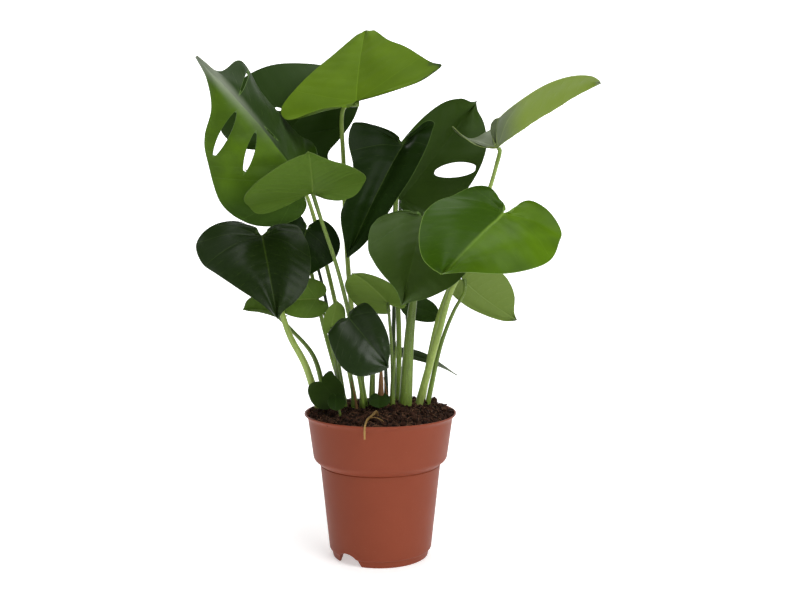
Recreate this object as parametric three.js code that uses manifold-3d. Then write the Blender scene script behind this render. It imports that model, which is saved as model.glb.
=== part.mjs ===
// A young potted monstera: a round plastic nursery pot, its soil, and heart-shaped leaves on long
// petioles that stand in the soil. Millimetres, +Z up. The origin is the middle of the pot's
// underside, +X is to the viewer's right and the viewer stands on the -Y side.
import * as THREE from 'three';
import { mergeVertices } from 'three/addons/utils/BufferGeometryUtils.js';
import Module from 'manifold-3d';

const wasm = await Module();
wasm.setup();

// Pot: outer radii and heights from the foot up
const POT = {
  height: 200, wall: 1.8, floor: 3,
  footRadius: 66.5, footHeight: 9, bodyRadius: 71, bodyTopRadius: 83.5, bodyTop: 129,
  collarRadius: 92.5, collarBottom: 137, collarTopRadius: 100.3, lipRadius: 105, lipHeight: 6,
  hubRadius: 24, floorRise: 18, ringRadius: 63, sides: 48,
};
const DRAIN = { count: 8, radius: 5, ring: 42 };
const NOTCH = { count: 2, firstAngle: -129, width: 42, height: 16.5 };

// Soil: its rim level, the mound at its middle, and the clearance to the pot and the stems
const SOIL = { rimLevel: 196, mound: 10, roughness: 1.6, rings: 9, sides: 40 };
const GAP = 0.3;
const STEM_DEPTH = 14;
const CUT_REACH = 7;

// Blades: thickness, the ridge of the midrib on the underside, and how far veins lean to the tip
const BLADE = { thickness: 0.9, ribDepth: 1.8, veinLean: 0.55, veinBow: 0.05, ribWidth: 1.8 };

// Half outlines of a blade from its sinus to its tip. The first number runs along the midrib, in
// shares of the lobe behind the petiole and of the length before it; the second runs out from the
// midrib, in shares of the width.
const LOBE_OUTLINE = [[-0.45, 0.05], [-0.82, 0.105], [-1, 0.2], [-0.86, 0.34], [-0.4, 0.45]];
const HALF_OUTLINES = {
  heart: [...LOBE_OUTLINE, [0.08, 0.5], [0.36, 0.48], [0.62, 0.385], [0.82, 0.22], [0.93, 0.07], [1, 0]],
  blunt: [...LOBE_OUTLINE, [0.08, 0.5], [0.38, 0.485], [0.66, 0.38], [0.86, 0.24], [0.96, 0.1], [1, 0]],
  wedge: [...LOBE_OUTLINE, [0.08, 0.5], [0.32, 0.42], [0.56, 0.31], [0.76, 0.18], [0.92, 0.06], [1, 0]],
  pointed: [...LOBE_OUTLINE, [0.08, 0.5], [0.32, 0.47], [0.48, 0.38], [0.64, 0.26], [0.84, 0.09], [1, 0]],
  tailed: [...LOBE_OUTLINE, [0.08, 0.5], [0.3, 0.43], [0.5, 0.3], [0.68, 0.16], [0.85, 0.06], [1, 0]],
  full: [...LOBE_OUTLINE, [0.05, 0.49], [0.36, 0.55], [0.58, 0.5], [0.76, 0.36], [0.9, 0.1], [1, 0]],
  waisted: [...LOBE_OUTLINE, [0.1, 0.5], [0.38, 0.39], [0.52, 0.3], [0.66, 0.16], [0.86, 0.05], [1, 0]],
  shouldered: [...LOBE_OUTLINE, [0.1, 0.43], [0.4, 0.38], [0.57, 0.44], [0.67, 0.38], [0.8, 0.1], [1, 0]],
  long: [...LOBE_OUTLINE, [0.2, 0.56], [0.45, 0.56], [0.62, 0.46], [0.8, 0.36], [0.95, 0.2], [1, 0]],
  drooped: [...LOBE_OUTLINE, [0, 0.49], [0.22, 0.35], [0.4, 0.26], [0.65, 0.25], [0.85, 0.12], [1, 0]],
};

// Leaves, by points in the air. base is where the petiole meets the blade and tip is the drip tip;
// left and right are the widest points of the margin and the lobes' points are their hindmost
// ones, all as seen from above with the tip ahead. arch bows the midrib to the upper side and wave
// ripples the margin. The petiole leaves the soil at foot, passes via, and has the radii in stem.
const LEAVES = {
  top: {
    base: [-32, 0, 626], tip: [-23, 130, 743], left: [-136, 30, 616], right: [76, -35, 664],
    leftLobe: [-76, -25, 611.5], rightLobe: [5, -30, 633],
    arch: 4, wave: 2, outline: ['wedge', 'tailed'],
    foot: [-20, 42], via: [[-37, 42, 300], [-47, 34, 420], [-51, 28, 540], [-50, 26, 612]], stem: [4.2, 2.8],
  },
  topRight: {
    base: [160, 0, 565], tip: [316, 85, 661], left: [152, 62, 591], right: [170, -50, 611],
    leftLobe: [102, 45, 596], rightLobe: [149, -22, 584],
    arch: 2, wave: 2, outline: ['wedge', 'blunt'],
    foot: [56, 62], via: [[84, 66, 326], [112, 60, 400], [150, 40, 500], [160, 16, 540]], stem: [5, 2.6],
  },
  backLeft: {
    base: [-140, 100, 586], tip: [-55, 150, 695], left: [-226, 100, 642], right: [-63, 108, 580],
    leftLobe: [-204, 84, 569], rightLobe: [-66, 95, 546],
    arch: 8, wave: 3, outline: ['heart', 'heart'],
    foot: [-48, 74], via: [[-82, 84, 300], [-110, 100, 420], [-138, 118, 540]], stem: [3.6, 2.4],
  },
  slotted: {
    base: [-107, -20, 521], tip: [-237, -60, 675], left: [-208, -60, 484], right: [-125, 50, 602],
    leftLobe: [-108, -30, 468], rightLobe: [-85, 5, 549],
    arch: 10, wave: 3, outline: ['waisted', 'shouldered'],
    foot: [-34, 56], via: [[-62, 60, 330], [-84, 44, 430], [-100, 10, 496]], stem: [3.8, 2.6],
  },
  frontRight: {
    base: [159, -95, 474], tip: [76, -172, 400], left: [227, -112, 435], right: [77, -112, 488],
    leftLobe: [195, -82, 491], rightLobe: [140, -86, 506],
    arch: 14, wave: 2.5, outline: ['full', 'blunt'],
    foot: [50, 36], via: [[80, 2, 306], [100, -34, 380], [138, -66, 440]], stem: [6.2, 2.8],
  },
  midLeft: {
    base: [-86, -70, 501], tip: [-82, -165, 546], left: [-17, -62, 521], right: [-170, -95, 487],
    leftLobe: [-52, -42, 489], rightLobe: [-140, -58, 477],
    arch: -3, wave: 2, outline: ['wedge', 'heart'],
    foot: [-18, 8], via: [[-38, -12, 316], [-56, -40, 400], [-76, -60, 466]], stem: [3.6, 2.4],
  },
  leftHeart: {
    base: [-153, -60, 444], tip: [-126, -122, 341], left: [-93, -62, 431], right: [-237, -75, 429],
    leftLobe: [-122, -45, 462], rightLobe: [-189, -48, 464],
    arch: 12, wave: 3, outline: ['heart', 'pointed'],
    foot: [-82, 22], via: [[-104, 12, 262], [-126, -2, 310], [-148, -28, 400]], stem: [6, 2.8],
  },
  shadowLeft: {
    base: [-103, 20, 451], tip: [-123, -12, 373], left: [-56, 14, 426], right: [-151, 4, 440],
    leftLobe: [-83, 26, 466], rightLobe: [-116, 24, 472],
    arch: 8, wave: 2, outline: ['pointed', 'heart'],
    foot: [-58, 40], via: [[-67, 40, 288], [-78, 42, 352], [-93, 44, 412]], stem: [3, 2],
  },
  centre: {
    base: [31, 20, 567], tip: [-43, -32, 414], left: [66, 0, 573], right: [-41, 0, 576],
    leftLobe: [63, 12, 599], rightLobe: [-8, 8, 596],
    arch: 14, wave: 4, outline: ['long', 'drooped'],
    foot: [24, 58], via: [[26, 62, 300], [20, 58, 420], [22, 52, 500], [28, 40, 545]], stem: [4, 3.6],
  },
  backRight: {
    base: [30, 108, 497], tip: [141, 140, 642], left: [23, 86, 570], right: [108, 102, 487],
    leftLobe: [-14, 98, 529], rightLobe: [64, 92, 459],
    arch: 8, wave: 3,
    foot: [20, 84], via: [[18, 104, 300], [22, 116, 420], [27, 126, 470]], stem: [3.6, 2.4],
  },
  centreRight: {
    base: [56, -50, 469], tip: [29, -98, 356], left: [129, -64, 435], right: [-12, -70, 451],
    leftLobe: [83, -42, 480], rightLobe: [25, -50, 477],
    arch: 12, wave: 3, outline: ['heart', 'pointed'],
    foot: [34, 22], via: [[42, 8, 320], [50, -4, 390], [56, -28, 445]], stem: [10.5, 2.6],
  },
  lowRight: {
    base: [116, 50, 380], tip: [202, 112, 316], left: [106, 34, 358], right: [153, 72, 403],
    leftLobe: [98, 34, 378], rightLobe: [120, 52, 403],
    arch: 8, wave: 2, outline: ['blunt', 'full'],
    foot: [64, 46], via: [[86, 40, 290], [104, 36, 338], [118, 34, 364]], stem: [4.2, 2.2],
  },
  smallLeft: {
    base: [-89, 10, 356], tip: [-150, 12, 351], left: [-93, -6, 331], right: [-100, 12, 385],
    arch: 4, wave: 1.5,
    foot: [-46, 14], via: [[-66, 20, 300], [-82, 24, 340]], stem: [2.6, 1.8],
  },
  edgeLeft: {
    base: [-143, 30, 333], tip: [-193, 22, 340], left: [-151, 14, 332], right: [-160, 40, 356],
    arch: 3, wave: 1,
    foot: [-76, 52], via: [[-96, 48, 270], [-128, 44, 310]], stem: [2.4, 1.6],
  },
  paleCentre: {
    base: [11, -20, 353], tip: [-36, -52, 395], left: [26, -10, 367], right: [-30, -2, 346],
    arch: 6, wave: 2,
    foot: [18, 4], via: [[16, -6, 286], [13, -22, 330]], stem: [3, 2],
  },
  paleLow: {
    base: [-67, -10, 318], tip: [-57, -24, 356], left: [-49, -8, 323], right: [-78, -14, 325],
    arch: 3, wave: 1,
    foot: [-44, 0], via: [[-60, -6, 262], [-67, -14, 300]], stem: [3, 1.8],
  },
  frontRound: {
    base: [-39, -74, 338], tip: [13, -98, 276], left: [-10, -78, 353], right: [-62, -88, 312],
    leftLobe: [-33, -68, 350], rightLobe: [-55, -72, 331],
    arch: 6, wave: 2, outline: ['heart', 'long'],
    foot: [-20, -14], via: [[-28, -28, 250], [-38, -44, 300], [-41, -56, 324]], stem: [2.6, 2],
  },
  shadowRight: {
    base: [39, 96, 339], tip: [87, 112, 322], left: [53, 108, 353], right: [49, 92, 318],
    arch: 4, wave: 1,
    foot: [42, 82], via: [[43, 98, 272], [37, 108, 322]], stem: [2.4, 1.7],
  },
  lowLeft: {
    base: [-79, -22, 244], tip: [-53, -30, 216], left: [-56, -22, 248], right: [-93, -24, 218],
    leftLobe: [-70, -16, 259], rightLobe: [-96, -20, 241],
    arch: 4, wave: 1,
    foot: [-60, 0], via: [[-70, -2, 222], [-78, -10, 238]], stem: [2.2, 1.7],
  },
  lowFront: {
    base: [-59, -50, 231], tip: [-57, -62, 213], left: [-45, -54, 226], right: [-69, -56, 225],
    arch: 2, wave: 0.6,
    foot: [-50, -50], via: [[-55, -50, 217]], stem: [2, 1.5],
  },
  lowCentre: {
    base: [-1, -16, 225], tip: [-1, -34, 211], left: [14, -22, 221], right: [-16, -24, 221],
    arch: 2, wave: 0.5,
    foot: [2, -2], via: [[0, -6, 214]], stem: [2, 1.5],
  },
  narrowRight: {
    base: [23, 80, 272], tip: [112, 92, 236], left: [39, 88, 276], right: [30, 74, 264],
    arch: 9, wave: 1, outline: ['tailed', 'tailed'],
    foot: [36, 76], via: [[31, 80, 240]], stem: [2.2, 1.5],
  },
};

// Openings in the blades: which half, where they start and end as lengths along and out from the
// midrib, their width, and how round their ends are (0.5 is an ellipse).
const OPENINGS = {
  slotted: [
    { side: 'left', start: [118, 12], end: [76, 78], width: 11, round: 0.8 },
    { side: 'left', start: [84, 8], end: [38, 62], width: 10, round: 0.9 },
    { side: 'right', start: [130, 7], end: [112, 96], width: 5, round: 0.6 },
    { side: 'right', start: [80, 7], end: [50, 13], width: 4, round: 0.6 },
  ],
  backLeft: [{ side: 'left', start: [29, 39], end: [33, 27], width: 5, round: 0.6 }],
  backRight: [{ side: 'right', start: [53, 15], end: [80, 63], width: 26, round: 0.5 }],
};

// Shoots without a blade: the dry sheaths of old leaves, and the root that hangs over the rim
const SHEATHS = {
  sheath_left: { foot: [-30, -18], via: [[-34, -19, 222], [-39, -21, 246]], stem: [3, 1] },
  sheath_middle: { foot: [12, -8], via: [[9, -10, 226], [5, -12, 250]], stem: [2.6, 1] },
};
const ROOT = {
  foot: [-1, -50], stem: [2.2, 1.2],
  via: [[-4, -57, 210.5], [-9, -69, 208.5], [-15, -84, 206], [-17, -98, 203.6], [-17.8, -106.4, 201.6],
    [-18.2, -109, 196], [-18, -108.4, 185]],
};

const COLOURS = {
  pot: 0x964f3a, soil: 0x2e2019, root: 0x8a7a45, upper: 0x2b4a22, fresh: 0x5f8a33,
  petiole: 0x6d8f3c, sheath: 0x8a5a2c,
};

const vec = (p) => new THREE.Vector3(p[0], p[1], p[2]);
const radians = (degrees) => (degrees * Math.PI) / 180;

function geometryFrom(positions, faces) {
  const geometry = new THREE.BufferGeometry();
  geometry.setAttribute('position', new THREE.Float32BufferAttribute(positions, 3));
  geometry.setIndex(faces);
  return geometry;
}

function toManifold(geometry) {
  const bare = geometry.clone();
  bare.deleteAttribute('normal');
  bare.deleteAttribute('uv');
  const merged = mergeVertices(bare, 1e-4);
  return new wasm.Manifold(new wasm.Mesh({
    numProp: 3,
    vertProperties: new Float32Array(merged.attributes.position.array),
    triVerts: new Uint32Array(merged.index.array),
  }));
}

function fromManifold(solid) {
  const mesh = solid.getMesh();
  return geometryFrom(Array.from(mesh.vertProperties), Array.from(mesh.triVerts));
}

function mesh(name, geometry, colour, roughness) {
  const material = new THREE.MeshStandardMaterial({ color: colour, roughness, metalness: 0 });
  const piece = new THREE.Mesh(geometry, material);
  piece.name = name;
  return piece;
}

// A closed stem: round sections carried along a path, with flat ends.
function stemGeometry(path, radiusAt, sides, steps) {
  const frames = path.computeFrenetFrames(steps, false);
  const positions = [];
  const faces = [];
  for (let i = 0; i <= steps; i += 1) {
    const centre = path.getPointAt(i / steps);
    const radius = radiusAt(i / steps);
    for (let j = 0; j < sides; j += 1) {
      const angle = (2 * Math.PI * j) / sides;
      const point = centre.clone()
        .addScaledVector(frames.normals[i], radius * Math.cos(angle))
        .addScaledVector(frames.binormals[i], radius * Math.sin(angle));
      positions.push(point.x, point.y, point.z);
    }
  }
  for (let i = 0; i < steps; i += 1) {
    for (let j = 0; j < sides; j += 1) {
      const next = (j + 1) % sides;
      const a = i * sides + j;
      const b = i * sides + next;
      faces.push(a, b, b + sides, a, b + sides, a + sides);
    }
  }
  for (let j = 1; j < sides - 1; j += 1) {
    const last = steps * sides;
    faces.push(0, j + 1, j, last, last + j, last + j + 1);
  }
  return geometryFrom(positions, faces);
}

// The veins of one half, from the sinus to the tip: each has its root on the midrib and its end
// on the margin. Those of the lobe all start at the petiole; the others start at even steps, and
// lean to the tip.
function veinRows(frame, outlineName, side, rows) {
  const outline = new THREE.CatmullRomCurve3(
    HALF_OUTLINES[outlineName].map(([along, out]) => new THREE.Vector3(
      along * (along < 0 ? frame.lobeLength[side] : frame.length), 2 * out * frame.halfWidth[side], 0)),
    false, 'catmullrom', 0.5);
  const rootOf = (u) => {
    const end = outline.getPoint(u);
    return end.x - BLADE.veinLean * end.y;
  };
  const placeOf = (root) => {
    let [low, high] = [0.25, 1];
    for (let i = 0; i < 40; i += 1) {
      const middle = (low + high) / 2;
      if (rootOf(middle) < root) low = middle;
      else high = middle;
    }
    return high;
  };
  const behind = Math.round(rows * 0.45);
  const first = placeOf(0);
  const veins = [];
  for (let i = 0; i < behind; i += 1) veins.push({ share: (first * i) / behind, root: 0 });
  const last = rows - behind - 1;
  for (let i = 0; i < last; i += 1) {
    const root = (frame.length * i) / last;
    veins.push({ share: placeOf(root), root });
  }
  veins.push({ share: 1, root: frame.length });
  return veins.map((vein) => ({ ...vein, end: outline.getPoint(vein.share) }));
}

// The frame of a blade: its midrib, and for each half the way out to its widest point and the way
// back to the end of its lobe.
function bladeFrame(leaf) {
  const base = vec(leaf.base);
  const run = vec(leaf.tip).sub(base);
  const length = run.length();
  const out = {};
  for (const side of ['left', 'right']) out[side] = vec(leaf[side]).sub(base).addScaledVector(run, -0.08);
  const up = run.clone().cross(out.left.clone().sub(out.right)).normalize();
  const start = run.clone().addScaledVector(up, 4 * leaf.arch);
  const frame = { base, run, up, out, length, start, lobeLength: {}, lobeBend: {}, halfWidth: {} };
  for (const side of ['left', 'right']) {
    const given = leaf[`${side}Lobe`];
    const lobe = given ? vec(given).sub(base) : out[side].clone().multiplyScalar(0.38)
      .addScaledVector(run, -0.28);
    const back = lobe.addScaledVector(out[side], -0.38);
    frame.lobeLength[side] = back.length();
    frame.lobeBend[side] = back.addScaledVector(start, frame.lobeLength[side] / length);
    frame.halfWidth[side] = out[side].length();
  }
  return frame;
}

// A point of a blade's middle surface, from its place along and out from the midrib.
function placeOnBlade(leaf, frame, side, x, out, ripple) {
  const s = x / frame.length;
  const w = out / frame.halfWidth[side];
  const point = frame.base.clone().addScaledVector(frame.out[side], w).addScaledVector(frame.up, ripple);
  if (x >= 0) {
    return point.addScaledVector(frame.run, s).addScaledVector(frame.up, 4 * leaf.arch * s * (1 - s));
  }
  const share = -x / frame.lobeLength[side];
  return point.addScaledVector(frame.start, s).addScaledVector(frame.lobeBend[side], share * share);
}

// A blade: its middle surface is a grid of veins and steps out along them, and the solid is that
// surface moved half the thickness to either side, with a ridge under the midrib.
function bladeGeometry(leaf, frame, index) {
  const large = frame.length > 100;
  const steps = large ? 3 : 2;
  const ribDepth = BLADE.ribDepth * Math.min(1, frame.length / 130);
  const points = [];
  const faces = [];
  const ribs = [];
  ['left', 'right'].forEach((side, half) => {
    const outlineName = leaf.outline ? leaf.outline[half] : 'heart';
    const veins = veinRows(frame, outlineName, side, large ? 11 : 7);
    const start = points.length;
    for (const vein of veins) {
      const run = Math.hypot(vein.end.x - vein.root, vein.end.y);
      const dir = run > 0 ? [(vein.end.x - vein.root) / run, vein.end.y / run] : [1, 0];
      const beside = Math.min(large ? 0.2 : 0.35, BLADE.ribWidth / Math.max(run, 1));
      for (let j = -1; j <= steps; j += 1) {
        const t = j < 0 ? 0 : beside + ((1 - beside) * j) / steps;
        const bow = -BLADE.veinBow * run * Math.sin(Math.PI * t);
        const x = vein.root + dir[0] * run * t + bow * dir[1];
        const out = dir[1] * run * t;
        const swing = Math.sin(15 * vein.share + 2.3 * index + 2 * half) * Math.min(1, run / 14);
        const ripple = leaf.wave * t * t * swing;
        points.push(placeOnBlade(leaf, frame, side, x, out, ripple));
        const atBase = vein.root === 0 ? 0.4 : 1;
        ribs.push(j < 0 ? atBase * ribDepth * (1 - 0.75 * vein.root / frame.length) : 0);
      }
    }
    const wide = steps + 2;
    for (let i = 0; i + 1 < veins.length; i += 1) {
      for (let j = 0; j + 1 < wide; j += 1) {
        const a = start + i * wide + j;
        const b = a + wide;
        faces.push(...(half === 0 ? [a, b, b + 1, a, b + 1, a + 1] : [a, b + 1, b, a, a + 1, b + 1]));
      }
    }
  });
  return thicken(points, faces, ribs);
}

// The solid that cuts an opening: a long rounded shape on the blade, carried through it.
function openingCutter(leaf, frame, opening) {
  const [x0, y0] = opening.start;
  const [dx, dy] = [opening.end[0] - x0, opening.end[1] - y0];
  const run = Math.hypot(dx, dy);
  const corners = [];
  for (let k = 0; k <= 10; k += 1) {
    const t = 0.5 - 0.5 * Math.cos((Math.PI * k) / 10);
    const reach = 0.5 * opening.width * (4 * t * (1 - t)) ** opening.round;
    for (const hand of k === 0 || k === 10 ? [0] : [-1, 1]) {
      const [x, y] = [x0 + dx * t - (hand * reach * dy) / run, y0 + dy * t + (hand * reach * dx) / run];
      corners.push({ x, y, order: hand < 0 ? k : 20 - k });
    }
  }
  corners.sort((a, b) => a.order - b.order);
  const positions = [];
  for (const level of [CUT_REACH, -CUT_REACH]) {
    for (const { x, y } of corners) {
      const p = placeOnBlade(leaf, frame, opening.side, x, y, level);
      positions.push(p.x, p.y, p.z);
    }
  }
  const n = corners.length;
  const faces = [];
  for (let i = 0; i < n; i += 1) {
    const next = (i + 1) % n;
    faces.push(i, i + n, next + n, i, next + n, next);
  }
  for (let i = 1; i + 1 < n - i; i += 1) {
    const [a, b, c, d] = [i, i + 1, n - i - 1, n - i];
    faces.push(a, b, c, a, c, d, a + n, c + n, b + n, a + n, d + n, c + n);
  }
  faces.push(0, 1, n - 1, n, 2 * n - 1, n + 1);
  return closedOutward(geometryFrom(positions, faces));
}

// Turns a closed body inside out where its faces look inward.
function closedOutward(geometry) {
  const p = geometry.attributes.position;
  const corner = (i) => new THREE.Vector3().fromBufferAttribute(p, i);
  const index = Array.from(geometry.index.array);
  let volume = 0;
  for (let f = 0; f < index.length; f += 3) {
    volume += corner(index[f]).dot(corner(index[f + 1]).cross(corner(index[f + 2])));
  }
  if (volume < 0) geometry.setIndex(index.reverse());
  return geometry;
}

function cutOpenings(geometry, leaf, frame, openings) {
  let solid = toManifold(geometry);
  for (const opening of openings) {
    solid = solid.subtract(toManifold(openingCutter(leaf, frame, opening)));
  }
  return fromManifold(solid);
}

// Joins points that lie on each other and drops the faces that close up by it.
function weld(points, faces, ribs) {
  const seen = new Map();
  const kept = [];
  const keptRibs = [];
  const target = points.map((p, i) => {
    const key = [p.x, p.y, p.z].map((c) => Math.round(c * 50)).join(',');
    if (!seen.has(key)) {
      seen.set(key, kept.length);
      kept.push(p);
      keptRibs.push(ribs[i]);
    }
    return seen.get(key);
  });
  const whole = [];
  for (let f = 0; f < faces.length; f += 3) {
    const [a, b, c] = [target[faces[f]], target[faces[f + 1]], target[faces[f + 2]]];
    if (a !== b && b !== c && c !== a) whole.push([a, b, c]);
  }
  return { kept, keptRibs, whole };
}

function thicken(points, faces, ribs) {
  const { kept, keptRibs, whole } = weld(points, faces, ribs);
  const normals = kept.map(() => new THREE.Vector3());
  for (const [a, b, c] of whole) {
    const normal = kept[b].clone().sub(kept[a]).cross(kept[c].clone().sub(kept[a]));
    for (const corner of [a, b, c]) normals[corner].add(normal);
  }
  normals.forEach((normal) => normal.normalize());
  const half = BLADE.thickness / 2;
  const upper = kept.map((p, i) => p.clone().addScaledVector(normals[i], half));
  const under = kept.map((p, i) => p.clone().addScaledVector(normals[i], -half - keptRibs[i]));
  const positions = [...upper, ...under].flatMap((p) => [p.x, p.y, p.z]);
  const n = kept.length;
  const solid = [];
  const edges = new Set(whole.flatMap(([a, b, c]) => [`${a},${b}`, `${b},${c}`, `${c},${a}`]));
  for (const [a, b, c] of whole) {
    solid.push(a, b, c, a + n, c + n, b + n);
    for (const [p, q] of [[a, b], [b, c], [c, a]]) {
      if (!edges.has(`${q},${p}`)) solid.push(q, p, p + n, q, p + n, q + n);
    }
  }
  return { geometry: geometryFrom(positions, solid), socket: under[0], socketNormal: normals[0] };
}

// A petiole from below the soil up to the underside of its blade, thicker at the foot, where it
// sheathes the stem, and swollen a little where it bends into the blade.
function petiolePath(leaf, blade) {
  const clear = GAP + 0.16 * leaf.stem[1];
  const end = blade.socket.clone().addScaledVector(blade.socketNormal, -clear);
  const bend = end.clone().addScaledVector(blade.socketNormal, -2.5 * leaf.stem[1]);
  const ground = soilLevel(leaf.foot[0], leaf.foot[1]);
  const foot = new THREE.Vector3(leaf.foot[0], leaf.foot[1], ground - STEM_DEPTH);
  const points = [foot, ...leaf.via.map(vec), bend, end];
  return new THREE.CatmullRomCurve3(points, false, 'centripetal');
}

function petioleRadius(leaf) {
  const [foot, top] = leaf.stem;
  return (t) => {
    const taper = top + (foot - top) * (1 - t) ** 1.6;
    const knee = 0.15 * top * Math.max(0, 1 - Math.abs(t - 0.96) / 0.06);
    return taper + knee;
  };
}

function petioleSteps(leaf) {
  return leaf.stem[1] > 2.1 ? 12 : 7;
}

// Height of the soil's surface: a low mound with seeded crumbs.
function soilLevel(x, y) {
  const r = Math.hypot(x, y) / POT.lipRadius;
  const crumbs = Math.sin(0.21 * x + 1.3) * Math.cos(0.17 * y - 0.6) + 0.5 * Math.sin(0.43 * x + 0.37 * y);
  return SOIL.rimLevel + SOIL.mound * Math.max(0, 1 - r * r) + SOIL.roughness * crumbs;
}

// Radius of the pot's inner wall at a height.
function innerRadius(z) {
  const stations = [
    [POT.floorRise + POT.floor, POT.bodyRadius], [POT.bodyTop + 2, POT.bodyTopRadius],
    [POT.collarBottom + 2, POT.collarRadius], [POT.height, POT.collarTopRadius + 0.7],
  ];
  let [low, high] = [stations[0], stations[1]];
  for (let i = 0; i + 1 < stations.length; i += 1) {
    if (z >= stations[i][0]) [low, high] = [stations[i], stations[i + 1]];
  }
  const share = (z - low[0]) / (high[0] - low[0]);
  return low[1] + (high[1] - low[1]) * share - POT.wall;
}

function potGeometry() {
  const top = POT.height;
  const inner = (z) => [innerRadius(z), z];
  const profile = [
    [0, 0], [POT.hubRadius, 0], [POT.hubRadius + 2, POT.floorRise],
    [POT.ringRadius - 1, POT.floorRise], [POT.ringRadius, 0],
    [POT.footRadius - 1.5, 0], [POT.footRadius, 1.5], [POT.footRadius + 1.5, POT.footHeight],
    [POT.bodyRadius, POT.footHeight + 1.5],
    [POT.bodyTopRadius, POT.bodyTop], [POT.collarRadius, POT.collarBottom],
    [POT.collarTopRadius, top - POT.lipHeight], [POT.lipRadius, top - 1.6],
    [POT.lipRadius, top - 0.6], [POT.lipRadius - 0.8, top], [innerRadius(top), top],
    inner(POT.collarBottom + 2), inner(POT.bodyTop + 2), inner(POT.floorRise + POT.floor),
    [0, POT.floorRise + POT.floor],
  ];
  const lathe = new THREE.LatheGeometry(profile.map(([r, z]) => new THREE.Vector2(r, z)), POT.sides);
  lathe.rotateX(Math.PI / 2);
  let pot = toManifold(lathe);
  for (let i = 0; i < DRAIN.count; i += 1) {
    const angle = (2 * Math.PI * i) / DRAIN.count;
    const drill = new THREE.CylinderGeometry(DRAIN.radius, DRAIN.radius, 20, 12);
    drill.rotateX(Math.PI / 2);
    drill.translate(DRAIN.ring * Math.cos(angle), DRAIN.ring * Math.sin(angle), POT.floorRise);
    pot = pot.subtract(toManifold(drill));
  }
  for (let i = 0; i < NOTCH.count; i += 1) {
    const angle = radians(NOTCH.firstAngle + (360 * i) / NOTCH.count);
    pot = pot.subtract(toManifold(notchCutter(angle)));
  }
  return fromManifold(pot);
}

// An arch cut through the foot ring, wide below and round above.
function notchCutter(angle) {
  const half = NOTCH.width / 2;
  const arch = new THREE.Shape();
  arch.moveTo(-half, -2);
  arch.lineTo(half, -2);
  arch.lineTo(half * 0.8, 0.45 * NOTCH.height);
  arch.quadraticCurveTo(half * 0.6, NOTCH.height, 0, NOTCH.height);
  arch.quadraticCurveTo(-half * 0.6, NOTCH.height, -half * 0.8, 0.45 * NOTCH.height);
  const cutter = new THREE.ExtrudeGeometry(arch, { depth: 30, bevelEnabled: false, curveSegments: 5 });
  cutter.rotateX(Math.PI / 2);
  cutter.translate(0, -POT.footRadius + 22, 0);
  cutter.rotateZ(angle + Math.PI / 2);
  return cutter;
}

function soilGeometry(petioles) {
  const bottom = POT.floorRise + POT.floor + GAP;
  const wallLevels = [bottom, POT.bodyTop + 2, POT.collarBottom + 2, SOIL.rimLevel - 4];
  const positions = [0, 0, bottom];
  const ringAt = (radius, levelAt) => {
    for (let j = 0; j < SOIL.sides; j += 1) {
      const angle = (2 * Math.PI * j) / SOIL.sides;
      const [x, y] = [radius * Math.cos(angle), radius * Math.sin(angle)];
      positions.push(x, y, levelAt(x, y));
    }
  };
  for (const level of wallLevels) {
    const clear = GAP / Math.cos(Math.PI / POT.sides) + 0.25;
    ringAt(innerRadius(level) - clear, () => level);
  }
  const edge = innerRadius(SOIL.rimLevel - 4) - 0.8;
  for (let i = SOIL.rings; i > 0; i -= 1) ringAt((edge * i) / SOIL.rings, soilLevel);
  const last = positions.length / 3;
  positions.push(0, 0, soilLevel(0, 0));
  const faces = [];
  const rings = wallLevels.length + SOIL.rings;
  for (let j = 0; j < SOIL.sides; j += 1) {
    const next = (j + 1) % SOIL.sides;
    faces.push(0, 1 + next, 1 + j);
    for (let i = 0; i + 1 < rings; i += 1) {
      const a = 1 + i * SOIL.sides + j;
      const b = 1 + i * SOIL.sides + next;
      faces.push(a, b, b + SOIL.sides, a, b + SOIL.sides, a + SOIL.sides);
    }
    const inner = 1 + (rings - 1) * SOIL.sides;
    faces.push(inner + j, inner + next, last);
  }
  let soil = toManifold(geometryFrom(positions, faces));
  for (const petiole of petioles) soil = soil.subtract(toManifold(petiole));
  return fromManifold(soil);
}

// The hole for a stem: the stem itself, a little thicker and deeper.
function stemHole(leaf, path) {
  const start = path.getPointAt(0);
  const deeper = start.clone().addScaledVector(path.getTangentAt(0), -GAP);
  const points = [deeper, ...path.getSpacedPoints(petioleSteps(leaf)).slice(1)];
  const wide = new THREE.CatmullRomCurve3(points, false, 'centripetal');
  const radius = petioleRadius(leaf);
  return stemGeometry(wide, (t) => 1.09 * radius(t) + 1.5 * GAP, 8, 2 * petioleSteps(leaf));
}

function shootPath(shoot) {
  const ground = soilLevel(shoot.foot[0], shoot.foot[1]);
  const foot = new THREE.Vector3(shoot.foot[0], shoot.foot[1], ground - STEM_DEPTH);
  return new THREE.CatmullRomCurve3([foot, ...shoot.via.map(vec)], false, 'centripetal');
}

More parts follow.
